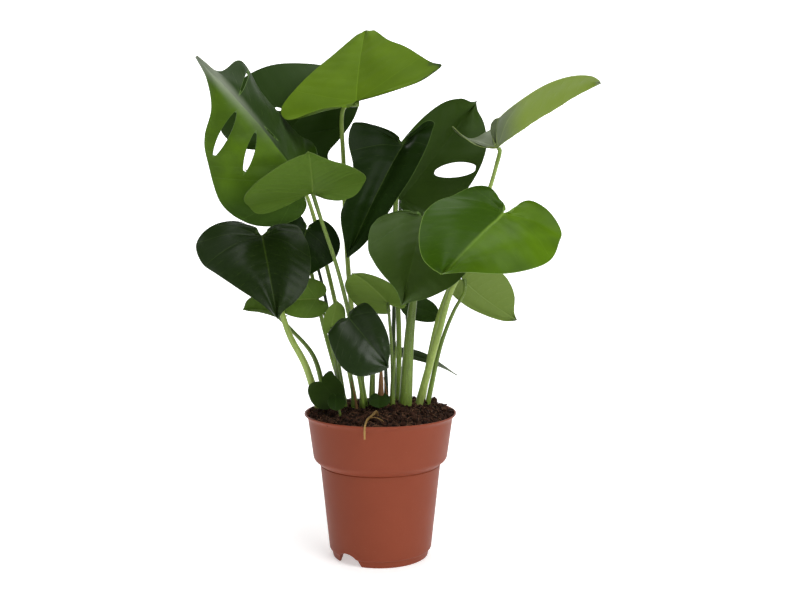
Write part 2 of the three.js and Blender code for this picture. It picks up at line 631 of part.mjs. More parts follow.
function buildPlant() {
  const group = new THREE.Group();
  group.add(mesh('pot', potGeometry(), COLOURS.pot, 0.45));
  const holes = [];
  Object.entries(LEAVES).forEach(([name, leaf], index) => {
    const frame = bladeFrame(leaf);
    const blade = bladeGeometry(leaf, frame, index);
    const openings = OPENINGS[name] ?? [];
    const whole = openings.length ? cutOpenings(blade.geometry, leaf, frame, openings) : blade.geometry;
    const path = petiolePath(leaf, blade);
    const petiole = stemGeometry(path, petioleRadius(leaf), 7, petioleSteps(leaf));
    holes.push(stemHole(leaf, path));
    group.add(mesh(`leaf_${name}`, whole, COLOURS.upper, 0.4));
    group.add(mesh(`petiole_${name}`, petiole, COLOURS.petiole, 0.5));
  });
  for (const [name, shoot] of Object.entries({ ...SHEATHS, aerial_root: ROOT })) {
    const path = shootPath(shoot);
    const colour = shoot === ROOT ? COLOURS.root : COLOURS.sheath;
    holes.push(stemHole(shoot, path));
    group.add(mesh(name, stemGeometry(path, petioleRadius(shoot), 7, 12), colour, 0.8));
  }
  group.add(mesh('soil', soilGeometry(holes), COLOURS.soil, 0.95));
  return group;
}

export default buildPlant();
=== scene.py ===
# A potted young monstera in its nursery pot, dressed for rendering. Metres, +Z up, and the front
# of the plant looks along -Y. Dictionaries hold millimetres unless a note says otherwise.
import math
from types import SimpleNamespace

import bpy
import numpy as np
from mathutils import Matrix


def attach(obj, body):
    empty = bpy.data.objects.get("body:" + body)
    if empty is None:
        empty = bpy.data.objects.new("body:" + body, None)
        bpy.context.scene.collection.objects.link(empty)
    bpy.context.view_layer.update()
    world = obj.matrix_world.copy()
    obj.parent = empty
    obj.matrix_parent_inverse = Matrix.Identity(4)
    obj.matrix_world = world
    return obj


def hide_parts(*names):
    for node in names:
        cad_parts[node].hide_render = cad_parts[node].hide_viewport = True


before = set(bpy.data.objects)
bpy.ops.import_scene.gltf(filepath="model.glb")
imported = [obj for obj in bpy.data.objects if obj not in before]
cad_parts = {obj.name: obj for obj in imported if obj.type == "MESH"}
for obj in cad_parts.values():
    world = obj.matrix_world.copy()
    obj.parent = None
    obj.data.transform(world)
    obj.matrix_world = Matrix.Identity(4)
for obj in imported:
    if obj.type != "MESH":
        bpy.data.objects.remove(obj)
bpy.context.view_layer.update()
mm = 0.001


def plainObject(name, points, faces):
    # points in millimetres and faces (rows of three or more corners) become a mesh in metres
    mesh = bpy.data.meshes.new(name)
    corners = [face for part in faces for face in part.tolist()]
    mesh.from_pydata((np.asarray(points) * mm).tolist(), [], corners)
    piece = bpy.data.objects.new(name, mesh)
    bpy.context.scene.collection.objects.link(piece)
    return piece


def shadeSmooth(mesh, sharpAngle):
    mesh.polygons.foreach_set("use_smooth", np.ones(len(mesh.polygons), bool))
    mesh.set_sharp_from_angle(angle=math.radians(sharpAngle))


def buildObject(name, points, faces, fields=None, sharpAngle=40):
    # a smooth piece, with one number per point for each field that its material reads
    piece = plainObject(name, points, faces)
    for label, values in (fields or {}).items():
        layer = piece.data.attributes.new(label, "FLOAT", "POINT")
        layer.data.foreach_set("value", np.asarray(values, np.float32))
    shadeSmooth(piece.data, sharpAngle)
    piece.data.update()
    return piece


def turnOutward(piece):
    # the signed volume tells whether the faces look in; if they do, every face is turned
    mesh = piece.data
    mesh.calc_loop_triangles()
    places = np.zeros(len(mesh.vertices) * 3, np.float32)
    mesh.vertices.foreach_get("co", places)
    places = places.reshape(-1, 3).astype(float)
    corners = np.zeros(len(mesh.loop_triangles) * 3, np.int32)
    mesh.loop_triangles.foreach_get("vertices", corners)
    a, b, c = (places[corners.reshape(-1, 3)[:, k]] for k in range(3))
    if np.einsum("ij,ij->i", a, np.cross(b, c)).sum() < 0:
        mesh.flip_normals()
    return piece


def settle(piece, slot, material, *nodes):
    # a finished piece rides on the plant, stands for its CAD nodes and gets its material
    piece.data.materials.append(material)
    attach(piece, "root")
    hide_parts(*nodes)
    return piece


def fullTurn(count):
    return np.linspace(0, 2 * np.pi, count, endpoint=False)


def unit(rows):
    # every row scaled to length 1
    return rows / np.maximum(np.linalg.norm(rows, axis=-1), 1e-9)[..., None]


def spots(x, y, z):
    # coordinates side by side, each repeated to the common shape
    return np.stack(np.broadcast_arrays(x, y, z), -1)


def gridFaces(index, wrap=False):
    # every cell of a grid of vertex numbers becomes one face
    if wrap:
        index = np.concatenate([index, index[..., :1]], -1)
    corners = index[..., :-1, :-1], index[..., :-1, 1:], index[..., 1:, 1:], index[..., 1:, :-1]
    return np.stack(corners, -1).reshape(-1, 4)


def closeRings(grid, first, last):
    # rings of points joined by quads, and closed at each end by a fan of triangles around a pole
    count = grid[..., 0].size
    index = np.arange(count).reshape(grid.shape[:2])
    ring, end = index[0], index[-1]
    low = np.stack([np.roll(ring, -1), np.full_like(ring, count), ring], 1)
    high = np.stack([np.full_like(end, count + 1), np.roll(end, -1), end], 1)
    points = np.vstack([grid.reshape(-1, 3), [first, last]])
    return points, [gridFaces(index, wrap=True)[:, ::-1], low, high]


def tidyFaces(quads):
    # a cell with two corners in one place becomes a triangle, and one with fewer is dropped
    a, b, c, d = quads.T
    triangles = []
    whole = (a != b) & (b != c) & (c != d) & (d != a)
    for same, keep in ((a == b, (0, 2, 3)), (b == c, (0, 1, 3)), (c == d, (0, 1, 2)), (d == a, (0, 1, 2))):
        part = quads[same][:, keep]
        good = (part[:, 0] != part[:, 1]) & (part[:, 1] != part[:, 2]) & (part[:, 2] != part[:, 0])
        triangles.append(part[good])
    return quads[whole], np.vstack(triangles)


def hermite(x0, x1, t0, t1, w):
    # cubic from x0 to x1 with end slopes t0 and t1
    w = w[:, None]
    return x0 + t0 * w + (3 * (x1 - x0) - 2 * t0 - t1) * w**2 + (2 * (x0 - x1) + t0 + t1) * w**3


def curveAt(points, share, evenly=True):
    # Catmull-Rom curve through the points: uniform for outlines, centripetal for stems
    points = np.asarray(points, float)
    p = np.vstack([2 * points[0] - points[1], points, 2 * points[-1] - points[-2]])
    step = (len(points) - 1) * np.asarray(share, float)
    i = np.clip(np.floor(step).astype(int), 0, len(points) - 2)
    w = step - i
    p0, p1, p2, p3 = p[i], p[i + 1], p[i + 2], p[i + 3]
    if evenly:
        return hermite(p1, p2, 0.5 * (p2 - p0), 0.5 * (p3 - p1), w)
    d0, d1, d2 = (np.sqrt(np.linalg.norm(p[i + k + 1] - p[i + k], axis=1))[:, None] for k in range(3))
    t0 = ((p1 - p0) / d0 - (p2 - p0) / (d0 + d1) + (p2 - p1) / d1) * d1
    t1 = ((p2 - p1) / d1 - (p3 - p1) / (d1 + d2) + (p3 - p2) / d2) * d1
    return hermite(p1, p2, t0, t1, w)


def evenPath(points, count):
    # centripetal curve sampled at equal steps of its length
    fine = curveAt(points, np.linspace(0, 1, 900), evenly=False)
    run = np.concatenate([[0], np.cumsum(np.linalg.norm(np.diff(fine, axis=0), axis=1))])
    want = np.linspace(0, run[-1], count)
    return np.stack([np.interp(want, run, fine[:, k]) for k in range(3)], 1)


def tubeMesh(path, radii, sides, wobble):
    # a profile carried along a path: centre + radius * (normal cos + binormal sin), closed by poles;
    # wobble gives the share of the radius at a place along the path and an angle around it
    tangent = unit(np.gradient(path, axis=0))
    normal = np.cross(tangent, [1.0, 0.0, 0.0])
    weak = np.linalg.norm(normal, axis=1) < 0.15
    normal[weak] = np.cross(tangent[weak], [0.0, 1.0, 0.0])
    normal = unit(normal)
    binormal = np.cross(tangent, normal)
    angle = fullTurn(sides)
    along = np.linspace(0, 1, len(path))
    reach = radii[:, None] * wobble(along[:, None], angle[None, :])
    ring = normal[:, None] * np.cos(angle)[:, None] + binormal[:, None] * np.sin(angle)[:, None]
    points, faces = closeRings(path[:, None] + ring * reach[..., None], path[0], path[-1])
    return points, faces, {"alongStem": np.concatenate([np.repeat(along, sides), [0, 1]])}


def newGroup(name, inputs, outputs):
    # a node group with numbers in, each with its usual value, and numbers out
    group = bpy.data.node_groups.new(name, "ShaderNodeTree")
    for label, value in inputs.items():
        socket = group.interface.new_socket(name=label, in_out="INPUT", socket_type="NodeSocketFloat")
        socket.default_value = value
    for label in outputs:
        group.interface.new_socket(name=label, in_out="OUTPUT", socket_type="NodeSocketFloat")
    return group, group.nodes.new("NodeGroupInput"), group.nodes.new("NodeGroupOutput")


def addNode(tree, kind, settings=None, **links):
    # a node with its settings, and its inputs set to values or linked to other sockets; a key such
    # as in0 is the input's number and any other key is its name with spaces left out
    node = tree.nodes.new("ShaderNode" + kind)
    for label, value in (settings or {}).items():
        setattr(node, label, value)
    names = {socket.name.replace(" ", "").replace(".", ""): socket for socket in reversed(node.inputs)}
    for label, value in links.items():
        socket = node.inputs[int(label[2:])] if label[:2] == "in" and label[2:].isdigit() else names[label]
        if isinstance(value, bpy.types.NodeSocket):
            tree.links.new(value, socket)
        else:
            socket.default_value = value
    return node


def calc(tree, operation, a, b=0.0, c=0.0):
    return addNode(tree, "Math", {"operation": operation}, in0=a, in1=b, in2=c).outputs[0]


def times(tree, a, b):
    return calc(tree, "MULTIPLY", a, b)


def blendColours(tree, share, first, second, mode="MIX"):
    kind = {"data_type": "RGBA", "blend_type": mode}
    first, second = ((*value, 1.0) if isinstance(value, tuple) else value for value in (first, second))
    return addNode(tree, "Mix", kind, in0=share, in6=first, in7=second).outputs[2]


def dim(tree, colour, factor):
    # the colour times a factor around 1
    grey = addNode(tree, "CombineColor", in0=factor, in1=factor, in2=factor).outputs[0]
    return blendColours(tree, 1.0, colour, grey, "MULTIPLY")


def ramp(tree, value, low=0.0, high=1.0, start=0.0, end=1.0, soft=False):
    # start where the value is low, end where it is high, held beyond both; soft eases in and out
    kind = {"interpolation_type": "SMOOTHSTEP" if soft else "LINEAR"}
    return addNode(tree, "MapRange", kind, in0=value, in1=low, in2=high, in3=start, in4=end).outputs[0]


def fadeLine(tree, distance, width):
    # 1 on a line and 0 beyond its width, with a soft edge
    return ramp(tree, distance, 0.0, width, 1.0, 0.0, soft=True)


def field(tree, label):
    return addNode(tree, "Attribute", {"attribute_name": label}).outputs["Fac"]


def objectPoint(tree):
    return addNode(tree, "TexCoord").outputs["Object"]


def noise(tree, scale, detail=3.0, rough=0.5, stretch=None):
    # cloudy noise from 0 to 1; stretch scales its place, and below 1 draws it out along that axis
    place = objectPoint(tree)
    if stretch:
        place = addNode(tree, "Mapping", Vector=place, Scale=stretch).outputs[0]
    return addNode(tree, "TexNoise", Vector=place, Scale=scale, Detail=detail, Roughness=rough).outputs["Fac"]


def makeMottle():
    # slow light and dark drift of a colour, as a factor around 1: 1 + 2 * depth * (noise - 0.5)
    group, given, out = newGroup("mottle", {"Scale": 60.0, "Depth": 0.2}, ["Factor"])
    slow = noise(group, given.outputs["Scale"], 4.0)
    shift = times(group, calc(group, "SUBTRACT", slow, 0.5), times(group, given.outputs["Depth"], 2.0))
    group.links.new(calc(group, "ADD", shift, 1.0), out.inputs["Factor"])
    return group


def makeVeins():
    # masks of a blade: midrib, side veins, the finer veins between them, margin, and their height
    widths = {"Rib Width": 1.4, "Vein Width": 0.6, "Margin Width": 0.7}
    masks = ["Rib", "Vein", "Fine", "Net", "Margin", "Height"]
    group, given, out = newGroup("leafVeins", widths, masks)
    rib, vein, margin = (fadeLine(group, field(group, label + "Distance"), given.outputs[width])
                         for label, width in zip(("rib", "vein", "margin"), widths))
    fine = fadeLine(group, field(group, "fineDistance"), 0.5)
    place = addNode(group, "CombineXYZ", X=field(group, "alongBlade"), Y=field(group, "outBlade")).outputs[0]
    cells = addNode(group, "TexVoronoi", {"feature": "DISTANCE_TO_EDGE"}, Vector=place, Scale=0.22)
    net = fadeLine(group, cells.outputs["Distance"], 0.12)
    height = 0.0
    for mask, depth in ((vein, 0.6), (rib, 0.8), (net, 0.1), (fine, 0.2)):
        height = calc(group, "SUBTRACT", height, times(group, mask, depth))
    for label, value in zip(masks, (rib, vein, fine, net, margin, height)):
        group.links.new(value, out.inputs[label])
    return group


mottle = makeMottle()
leafVeins = makeVeins()


def startMaterial(name, **values):
    # a material whose Principled shader has these values on its own sockets
    material = bpy.data.materials.new(name)
    material.use_nodes = True
    tree = material.node_tree
    shader = tree.nodes["Principled BSDF"]
    for label, value in values.items():
        shader.inputs[label].default_value = value
    return material, tree, shader


def useGroup(tree, group, **values):
    node = tree.nodes.new("ShaderNodeGroup")
    node.node_tree = group
    for label, value in values.items():
        node.inputs[label].default_value = value
    return node


def dress(tree, shader, colour, height, strength, distance):
    # the colour and the relief of a material
    tree.links.new(colour, shader.inputs["Base Color"])
    bump = addNode(tree, "Bump", Height=height, Strength=strength, Distance=distance)
    tree.links.new(bump.outputs["Normal"], shader.inputs["Normal"])


def distanceTo(tree, place):
    away = addNode(tree, "VectorMath", {"operation": "DISTANCE"}, in0=objectPoint(tree), in1=place)
    return away.outputs["Value"]


# colours are linear red, green, blue: upper is the upper side, deep its darker patches, leftUpper the
# left half where it is painted brighter as the lit half (painted light), and lobes the part
# behind the petiole painted another tone: painted shade at the slotted blade's base and a painted grey
# sheen on the curled one. gloss and underGloss are the roughness of the two sides, veins how plainly
# they show, rib the width of the midrib in mm, fine the share of the small veins and of the bump, tip
# the share of the length where a pale band by the midrib starts (painted sheen, and on the thin dried
# blade its dry tip), and corner the place where a rolled margin is painted dark as its shade.
usualLeaf = dict(slot="dark_leaf", under=(0.035, 0.07, 0.01), margin=(0.04, 0.08, 0.015), underGloss=0.6,
                 gloss=0.45, veins=0.6, rib=1.4, fine=1)
leafFinishes = {
    "deepLeaf": dict(
        upper=(0.0105, 0.0225, 0.0035), deep=(0.0075, 0.017, 0.0028), under=(0.03, 0.06, 0.01),
        vein=(0.06, 0.1, 0.014), margin=(0.04, 0.07, 0.015), gloss=0.36, shine=0.14, rib=1.9),
    "darkLeaf": dict(
        upper=(0.019, 0.042, 0.005), deep=(0.013, 0.03, 0.004), vein=(0.034, 0.066, 0.01), gloss=0.5,
        shine=0.07, veins=0.5),
    "glossyLeaf": dict(
        upper=(0.013, 0.027, 0.005), deep=(0.009, 0.02, 0.004), under=(0.04, 0.075, 0.014),
        vein=(0.045, 0.075, 0.02), margin=(0.05, 0.09, 0.025), gloss=0.29, underGloss=0.55, shine=0.28),
    "shadeLeaf": dict(
        upper=(0.026, 0.052, 0.006), deep=(0.018, 0.038, 0.005), vein=(0.034, 0.066, 0.01), gloss=0.48,
        shine=0.08, veins=0.5),
    # the darkest upper side; on shadowLeft it is painted shade, standing for the shade that falls on that
    # blade
    "satinLeaf": dict(
        upper=(0.008, 0.02, 0.003), deep=(0.006, 0.015, 0.002), under=(0.03, 0.06, 0.01),
        vein=(0.05, 0.085, 0.015), margin=(0.05, 0.09, 0.02), gloss=0.34, underGloss=0.55, shine=0.05,
        rib=1.8),
    "thinLeaf": dict(
        upper=(0.03, 0.05, 0.015), deep=(0.02, 0.036, 0.01), under=(0.035, 0.06, 0.015),
        vein=(0.06, 0.08, 0.03), margin=(0.06, 0.08, 0.03), gloss=0.5, shine=0.1, veins=0.5, tip=0.35),
    "slottedLeaf": dict(
        upper=(0.016, 0.035, 0.005), deep=(0.012, 0.027, 0.004), leftUpper=(0.09, 0.175, 0.006),
        under=(0.05, 0.1, 0.015), vein=(0.1, 0.18, 0.03), margin=(0.09, 0.16, 0.035),
        lobes=(0.026, 0.06, 0.003), underGloss=0.55, shine=0.1, tip=0.12),
    "midLeaf": dict(
        slot="bright_leaf", upper=(0.036, 0.068, 0.009), deep=(0.026, 0.052, 0.006),
        under=(0.07, 0.12, 0.018), vein=(0.06, 0.11, 0.016), margin=(0.09, 0.16, 0.035), shine=0.12,
        veins=0.5),
    "brightLeaf": dict(
        slot="bright_leaf", upper=(0.028, 0.068, 0.002), deep=(0.02, 0.05, 0.002),
        leftUpper=(0.08, 0.16, 0.003), under=(0.1, 0.18, 0.02), vein=(0.22, 0.36, 0.05),
        margin=(0.16, 0.26, 0.05), gloss=0.36, underGloss=0.55, shine=0.08, rib=3.2, fine=0.3),
    "sunLeaf": dict(
        slot="young_leaf", upper=(0.088, 0.155, 0.005), deep=(0.062, 0.115, 0.004),
        under=(0.085, 0.15, 0.01), vein=(0.125, 0.215, 0.012), margin=(0.05, 0.08, 0.015), gloss=0.6,
        shine=0.05, veins=0.8, corner=(0.07, -0.036, 0.661)),
    "softLeaf": dict(
        slot="young_leaf", upper=(0.086, 0.155, 0.018), deep=(0.068, 0.128, 0.013),
        under=(0.074, 0.137, 0.014), vein=(0.14, 0.21, 0.035), margin=(0.09, 0.14, 0.03), gloss=0.5,
        shine=0.12, veins=1.0),
    "freshLeaf": dict(
        slot="young_leaf", upper=(0.12, 0.2, 0.032), deep=(0.1, 0.17, 0.025), under=(0.12, 0.195, 0.028),
        vein=(0.16, 0.24, 0.045), margin=(0.13, 0.19, 0.045), shine=0.15, veins=0.9),
    "youngLeaf": dict(
        slot="young_leaf", upper=(0.12, 0.18, 0.035), deep=(0.095, 0.15, 0.026),
        under=(0.125, 0.185, 0.035), vein=(0.2, 0.28, 0.07), margin=(0.16, 0.22, 0.06), shine=0.15,
        veins=0.9, tip=0.94),
    "curledLeaf": dict(
        slot="young_leaf", upper=(0.13, 0.195, 0.022), deep=(0.11, 0.17, 0.018),
        under=(0.145, 0.21, 0.022), vein=(0.24, 0.33, 0.06), margin=(0.17, 0.23, 0.05),
        lobes=(0.08, 0.105, 0.05), gloss=0.42, shine=0.2, veins=0.9, tip=0.93),
}
leafFinishes = {name: {**usualLeaf, **finish} for name, finish in leafFinishes.items()}
# painted colours: a pale grey sheen near the midrib (on the thin dried blade its dry tip) and the shade of a
# rolled margin
dryTipAndSheen, rolledEdgeShade = (0.26, 0.29, 0.22), (0.02, 0.04, 0.01)


def makeLeafMaterial(name, finish):
    material, tree, shader = startMaterial(name, **{"IOR": 1.45, "Specular IOR Level": finish["shine"]})
    veins = useGroup(tree, leafVeins, **{"Rib Width": finish["rib"]})
    drift = useGroup(tree, mottle, Scale=22.0, Depth=0.35).outputs["Factor"]
    upperSide = field(tree, "upperSide")
    along = field(tree, "tipShare")
    upper = finish["upper"]
    if "leftUpper" in finish:
        # painted light: the lit half is painted brighter, and this fades towards the tip
        share = times(tree, field(tree, "leftHalf"), ramp(tree, along, 0.3, 1.1, 1.0, 0.3))
        upper = blendColours(tree, share, upper, finish["leftUpper"])
    upper = blendColours(tree, ramp(tree, drift, 0.8, 1.15, 0.7, 0.0), upper, finish["deep"])
    face = blendColours(tree, upperSide, finish["under"], upper)
    if "lobes" in finish:
        # painted shade at the slotted blade's base and a painted grey sheen on the curled blade, behind the
        # petiole and just ahead of it
        face = blendColours(tree, ramp(tree, along, 0.28, 0.0, soft=True), face, finish["lobes"])
    for mask, share in (("Vein", 0.45), ("Fine", 0.12), ("Net", 0.05)):
        seen = times(tree, veins.outputs[mask], share * finish["veins"] * finish["fine"])
        face = blendColours(tree, seen, face, finish["vein"])
    # the midrib is palest at the petiole
    fade = times(tree, ramp(tree, along, start=1.0, end=0.2), finish["veins"])
    face = blendColours(tree, times(tree, veins.outputs["Rib"], fade), face, finish["vein"])
    face = blendColours(tree, times(tree, veins.outputs["Margin"], 0.8), face, finish["margin"])
    if "corner" in finish:
        # painted shade: a rolled margin is painted dark around one place
        near = ramp(tree, distanceTo(tree, finish["corner"]), 0.03, 0.016, soft=True)
        rolledShade = times(tree, near, ramp(tree, field(tree, "marginDistance"), 9.0, 2.0))
        rolledShade = times(tree, rolledShade, ramp(tree, noise(tree, 160.0), 0.42, 0.52, 0.35, 1.0))
        face = blendColours(tree, rolledShade, face, rolledEdgeShade)
    if "tip" in finish:
        # painted sheen: a pale grey band near the midrib towards the tip; on the thin dried blade it is the
        # dry tip
        dry = ramp(tree, along, finish["tip"], 1.0, 0.0, 0.8, soft=True)
        nearRib = fadeLine(tree, field(tree, "ribDistance"), 16.0)
        face = blendColours(tree, times(tree, dry, nearRib), face, dryTipAndSheen)
    rough = ramp(tree, upperSide, start=finish["underGloss"], end=finish["gloss"])
    rough = times(tree, rough, ramp(tree, noise(tree, 90.0), start=0.9, end=1.1))
    tree.links.new(rough, shader.inputs["Roughness"])
    dress(tree, shader, face, veins.outputs["Height"], 0.3 * finish["fine"], 0.0005)
    return material


leafMaterials = {name: makeLeafMaterial(name, finish) for name, finish in leafFinishes.items()}


# two plastic tones that drift into each other, and fine pale specks
potFinish = dict(low=(0.222, 0.047, 0.021), high=(0.252, 0.057, 0.027), speck=(0.36, 0.13, 0.08), shine=0.14,
                 smooth=0.4, rough=0.52, bump=0.12)


def makePotMaterial(finish):
    values = {"IOR": 1.48, "Specular IOR Level": finish["shine"]}
    material, tree, shader = startMaterial("potPlastic", **values)
    base = blendColours(tree, noise(tree, 14.0, 5.0, 0.6), finish["low"], finish["high"])
    base = dim(tree, base, useGroup(tree, mottle, Scale=9.0, Depth=0.08).outputs["Factor"])
    specks = times(tree, ramp(tree, noise(tree, 420.0, 2.0), 0.66, 0.74), 0.12)
    base = blendColours(tree, specks, base, finish["speck"])
    rough = ramp(tree, noise(tree, 60.0, 4.0), start=finish["smooth"], end=finish["rough"])
    tree.links.new(rough, shader.inputs["Roughness"])
    marks = noise(tree, 300.0, stretch=(1.0, 1.0, 0.08))
    marks = calc(tree, "ADD", marks, times(tree, noise(tree, 1500.0), 0.6))
    dress(tree, shader, base, marks, finish["bump"], 0.0003)
    return material


soilFinishes = {
    "pottingMix": dict(dark=(0.005, 0.0025, 0.0017), pale=(0.026, 0.011, 0.006), scale=140.0),
    "soilCrumb": dict(dark=(0.007, 0.003, 0.002), pale=(0.075, 0.031, 0.017), scale=90.0),
    "soilFibre": dict(dark=(0.04, 0.016, 0.009), pale=(0.27, 0.14, 0.08), scale=45.0),
}


def makeSoilMaterial(name, finish):
    material, tree, shader = startMaterial(name, **{"Roughness": 0.95, "Specular IOR Level": 0.2})
    share = ramp(tree, noise(tree, finish["scale"], 6.0, 0.65), 0.35, 0.7)
    base = blendColours(tree, share, finish["dark"], finish["pale"])
    dress(tree, shader, base, noise(tree, finish["scale"] * 3, 5.0, 0.7), 0.8, 0.0012)
    return material


# the lower part of a stalk is sheathed and paler, its knee under the blade is darker
petioleFinishes = {
    "green": dict(low=(0.22, 0.33, 0.05), middle=(0.12, 0.19, 0.022), knee=(0.08, 0.14, 0.014), streak=0.7),
    # painted shade: the dark tone is the green stalk darkened, for the stalks that stand in shade at the back
    "dark": dict(low=(0.07, 0.11, 0.02), middle=(0.02, 0.036, 0.01), knee=(0.02, 0.04, 0.008), streak=0.6),
    "pale": dict(low=(0.42, 0.55, 0.13), middle=(0.25, 0.35, 0.06), knee=(0.16, 0.25, 0.03), streak=0.4),
}
stalkFleck = (0.42, 0.5, 0.25)


def makePetioleMaterial(tone, finish):
    material, tree, shader = startMaterial(tone + "Stalk", Roughness=0.42, IOR=1.45)
    along = field(tree, "alongStem")
    base = blendColours(tree, ramp(tree, along, 0.1, 0.5, soft=True), finish["low"], finish["middle"])
    base = blendColours(tree, ramp(tree, along, 0.9, 0.97, soft=True), base, finish["knee"])
    fibres = noise(tree, 160.0, 4.0, 0.6, stretch=(4.0, 4.0, 0.25))
    streak = finish["streak"]
    base = dim(tree, base, ramp(tree, fibres, 0.3, 0.7, 1.0 - 0.5 * streak, 1.0 + 0.4 * streak))
    flecks = times(tree, ramp(tree, noise(tree, 700.0, 2.0), 0.6, 0.72), 0.35)
    dress(tree, shader, blendColours(tree, flecks, base, stalkFleck), fibres, 0.25, 0.0004)
    return material


dryFinishes = {
    "drySheath": dict(dark=(0.07, 0.03, 0.012), pale=(0.34, 0.16, 0.05), rough=0.7),
    "rootBark": dict(dark=(0.05, 0.024, 0.007), pale=(0.42, 0.24, 0.06), rough=0.6),
}


def makeDryMaterial(name, finish):
    # streaks along the piece between a dark and a pale tone
    material, tree, shader = startMaterial(name, Roughness=finish["rough"])
    streaks = noise(tree, 220.0, 4.0, 0.6, stretch=(3.0, 3.0, 0.4))
    share = calc(tree, "ADD", times(tree, streaks, 0.6), times(tree, field(tree, "alongStem"), 0.5))
    dress(tree, shader, blendColours(tree, share, finish["dark"], finish["pale"]), streaks, 0.5, 0.0006)
    return material


petioleMaterials = {tone: makePetioleMaterial(tone, finish) for tone, finish in petioleFinishes.items()}
potPlastic = makePotMaterial(potFinish)
soilMaterials = {name: makeSoilMaterial(name, finish) for name, finish in soilFinishes.items()}
dryMaterials = {name: makeDryMaterial(name, finish) for name, finish in dryFinishes.items()}
print("materials ready")


# Half outlines of a blade from its sinus to its tip. The first number runs along the midrib, in
# shares of the lobe behind the petiole and of the length before it; the second runs out from the
# midrib, in shares of the width. A leaf's outlines are its left half's and its right half's; without
# them it is heart shaped.
lobeOutline = [(-0.45, 0.05), (-0.82, 0.105), (-1, 0.2), (-0.86, 0.34), (-0.4, 0.45)]
halfOutlines = {
    "heart": [*lobeOutline, (0.08, 0.5), (0.36, 0.48), (0.62, 0.385), (0.82, 0.22), (0.93, 0.07), (1, 0)],
    "blunt": [*lobeOutline, (0.08, 0.5), (0.38, 0.485), (0.66, 0.38), (0.86, 0.24), (0.96, 0.1), (1, 0)],
    "wedge": [*lobeOutline, (0.08, 0.5), (0.32, 0.42), (0.56, 0.31), (0.76, 0.18), (0.92, 0.06), (1, 0)],
    "pointed": [*lobeOutline, (0.08, 0.5), (0.32, 0.47), (0.48, 0.38), (0.64, 0.26), (0.84, 0.09), (1, 0)],
    "tailed": [*lobeOutline, (0.08, 0.5), (0.3, 0.43), (0.5, 0.3), (0.68, 0.16), (0.85, 0.06), (1, 0)],
    "full": [*lobeOutline, (0.05, 0.49), (0.36, 0.55), (0.58, 0.5), (0.76, 0.36), (0.9, 0.1), (1, 0)],
    "waisted": [*lobeOutline, (0.1, 0.5), (0.38, 0.39), (0.52, 0.3), (0.66, 0.16), (0.86, 0.05), (1, 0)],
    "shouldered": [*lobeOutline, (0.1, 0.43), (0.4, 0.38), (0.57, 0.44), (0.67, 0.38), (0.8, 0.1), (1, 0)],
    "long": [*lobeOutline, (0.2, 0.56), (0.45, 0.56), (0.62, 0.46), (0.8, 0.36), (0.95, 0.2), (1, 0)],
    "bluntWedge": [*lobeOutline, (0.08, 0.5), (0.32, 0.42), (0.56, 0.31), (0.76, 0.18), (0.94, 0.055),
                   (1, 0)],
    "cornered": [*lobeOutline[:4], (-0.4, 0.42), (-0.05, 0.455), (0.09, 0.53), (0.2, 0.455), (0.5, 0.3),
                 (0.68, 0.18), (0.86, 0.1), (0.96, 0.055), (1, 0)],
    "billowed": [(-0.45, 0.04), (-0.82, 0.08), (-1, 0.15), (-0.9, 0.27), (-0.6, 0.42), (-0.2, 0.53),
                 (0.12, 0.49), (0.3, 0.34), (0.5, 0.25), (0.7, 0.23), (0.86, 0.12), (1, 0)],
    "round": [*lobeOutline, (0.12, 0.54), (0.4, 0.62), (0.62, 0.6), (0.82, 0.46), (0.95, 0.2), (1, 0)],
}
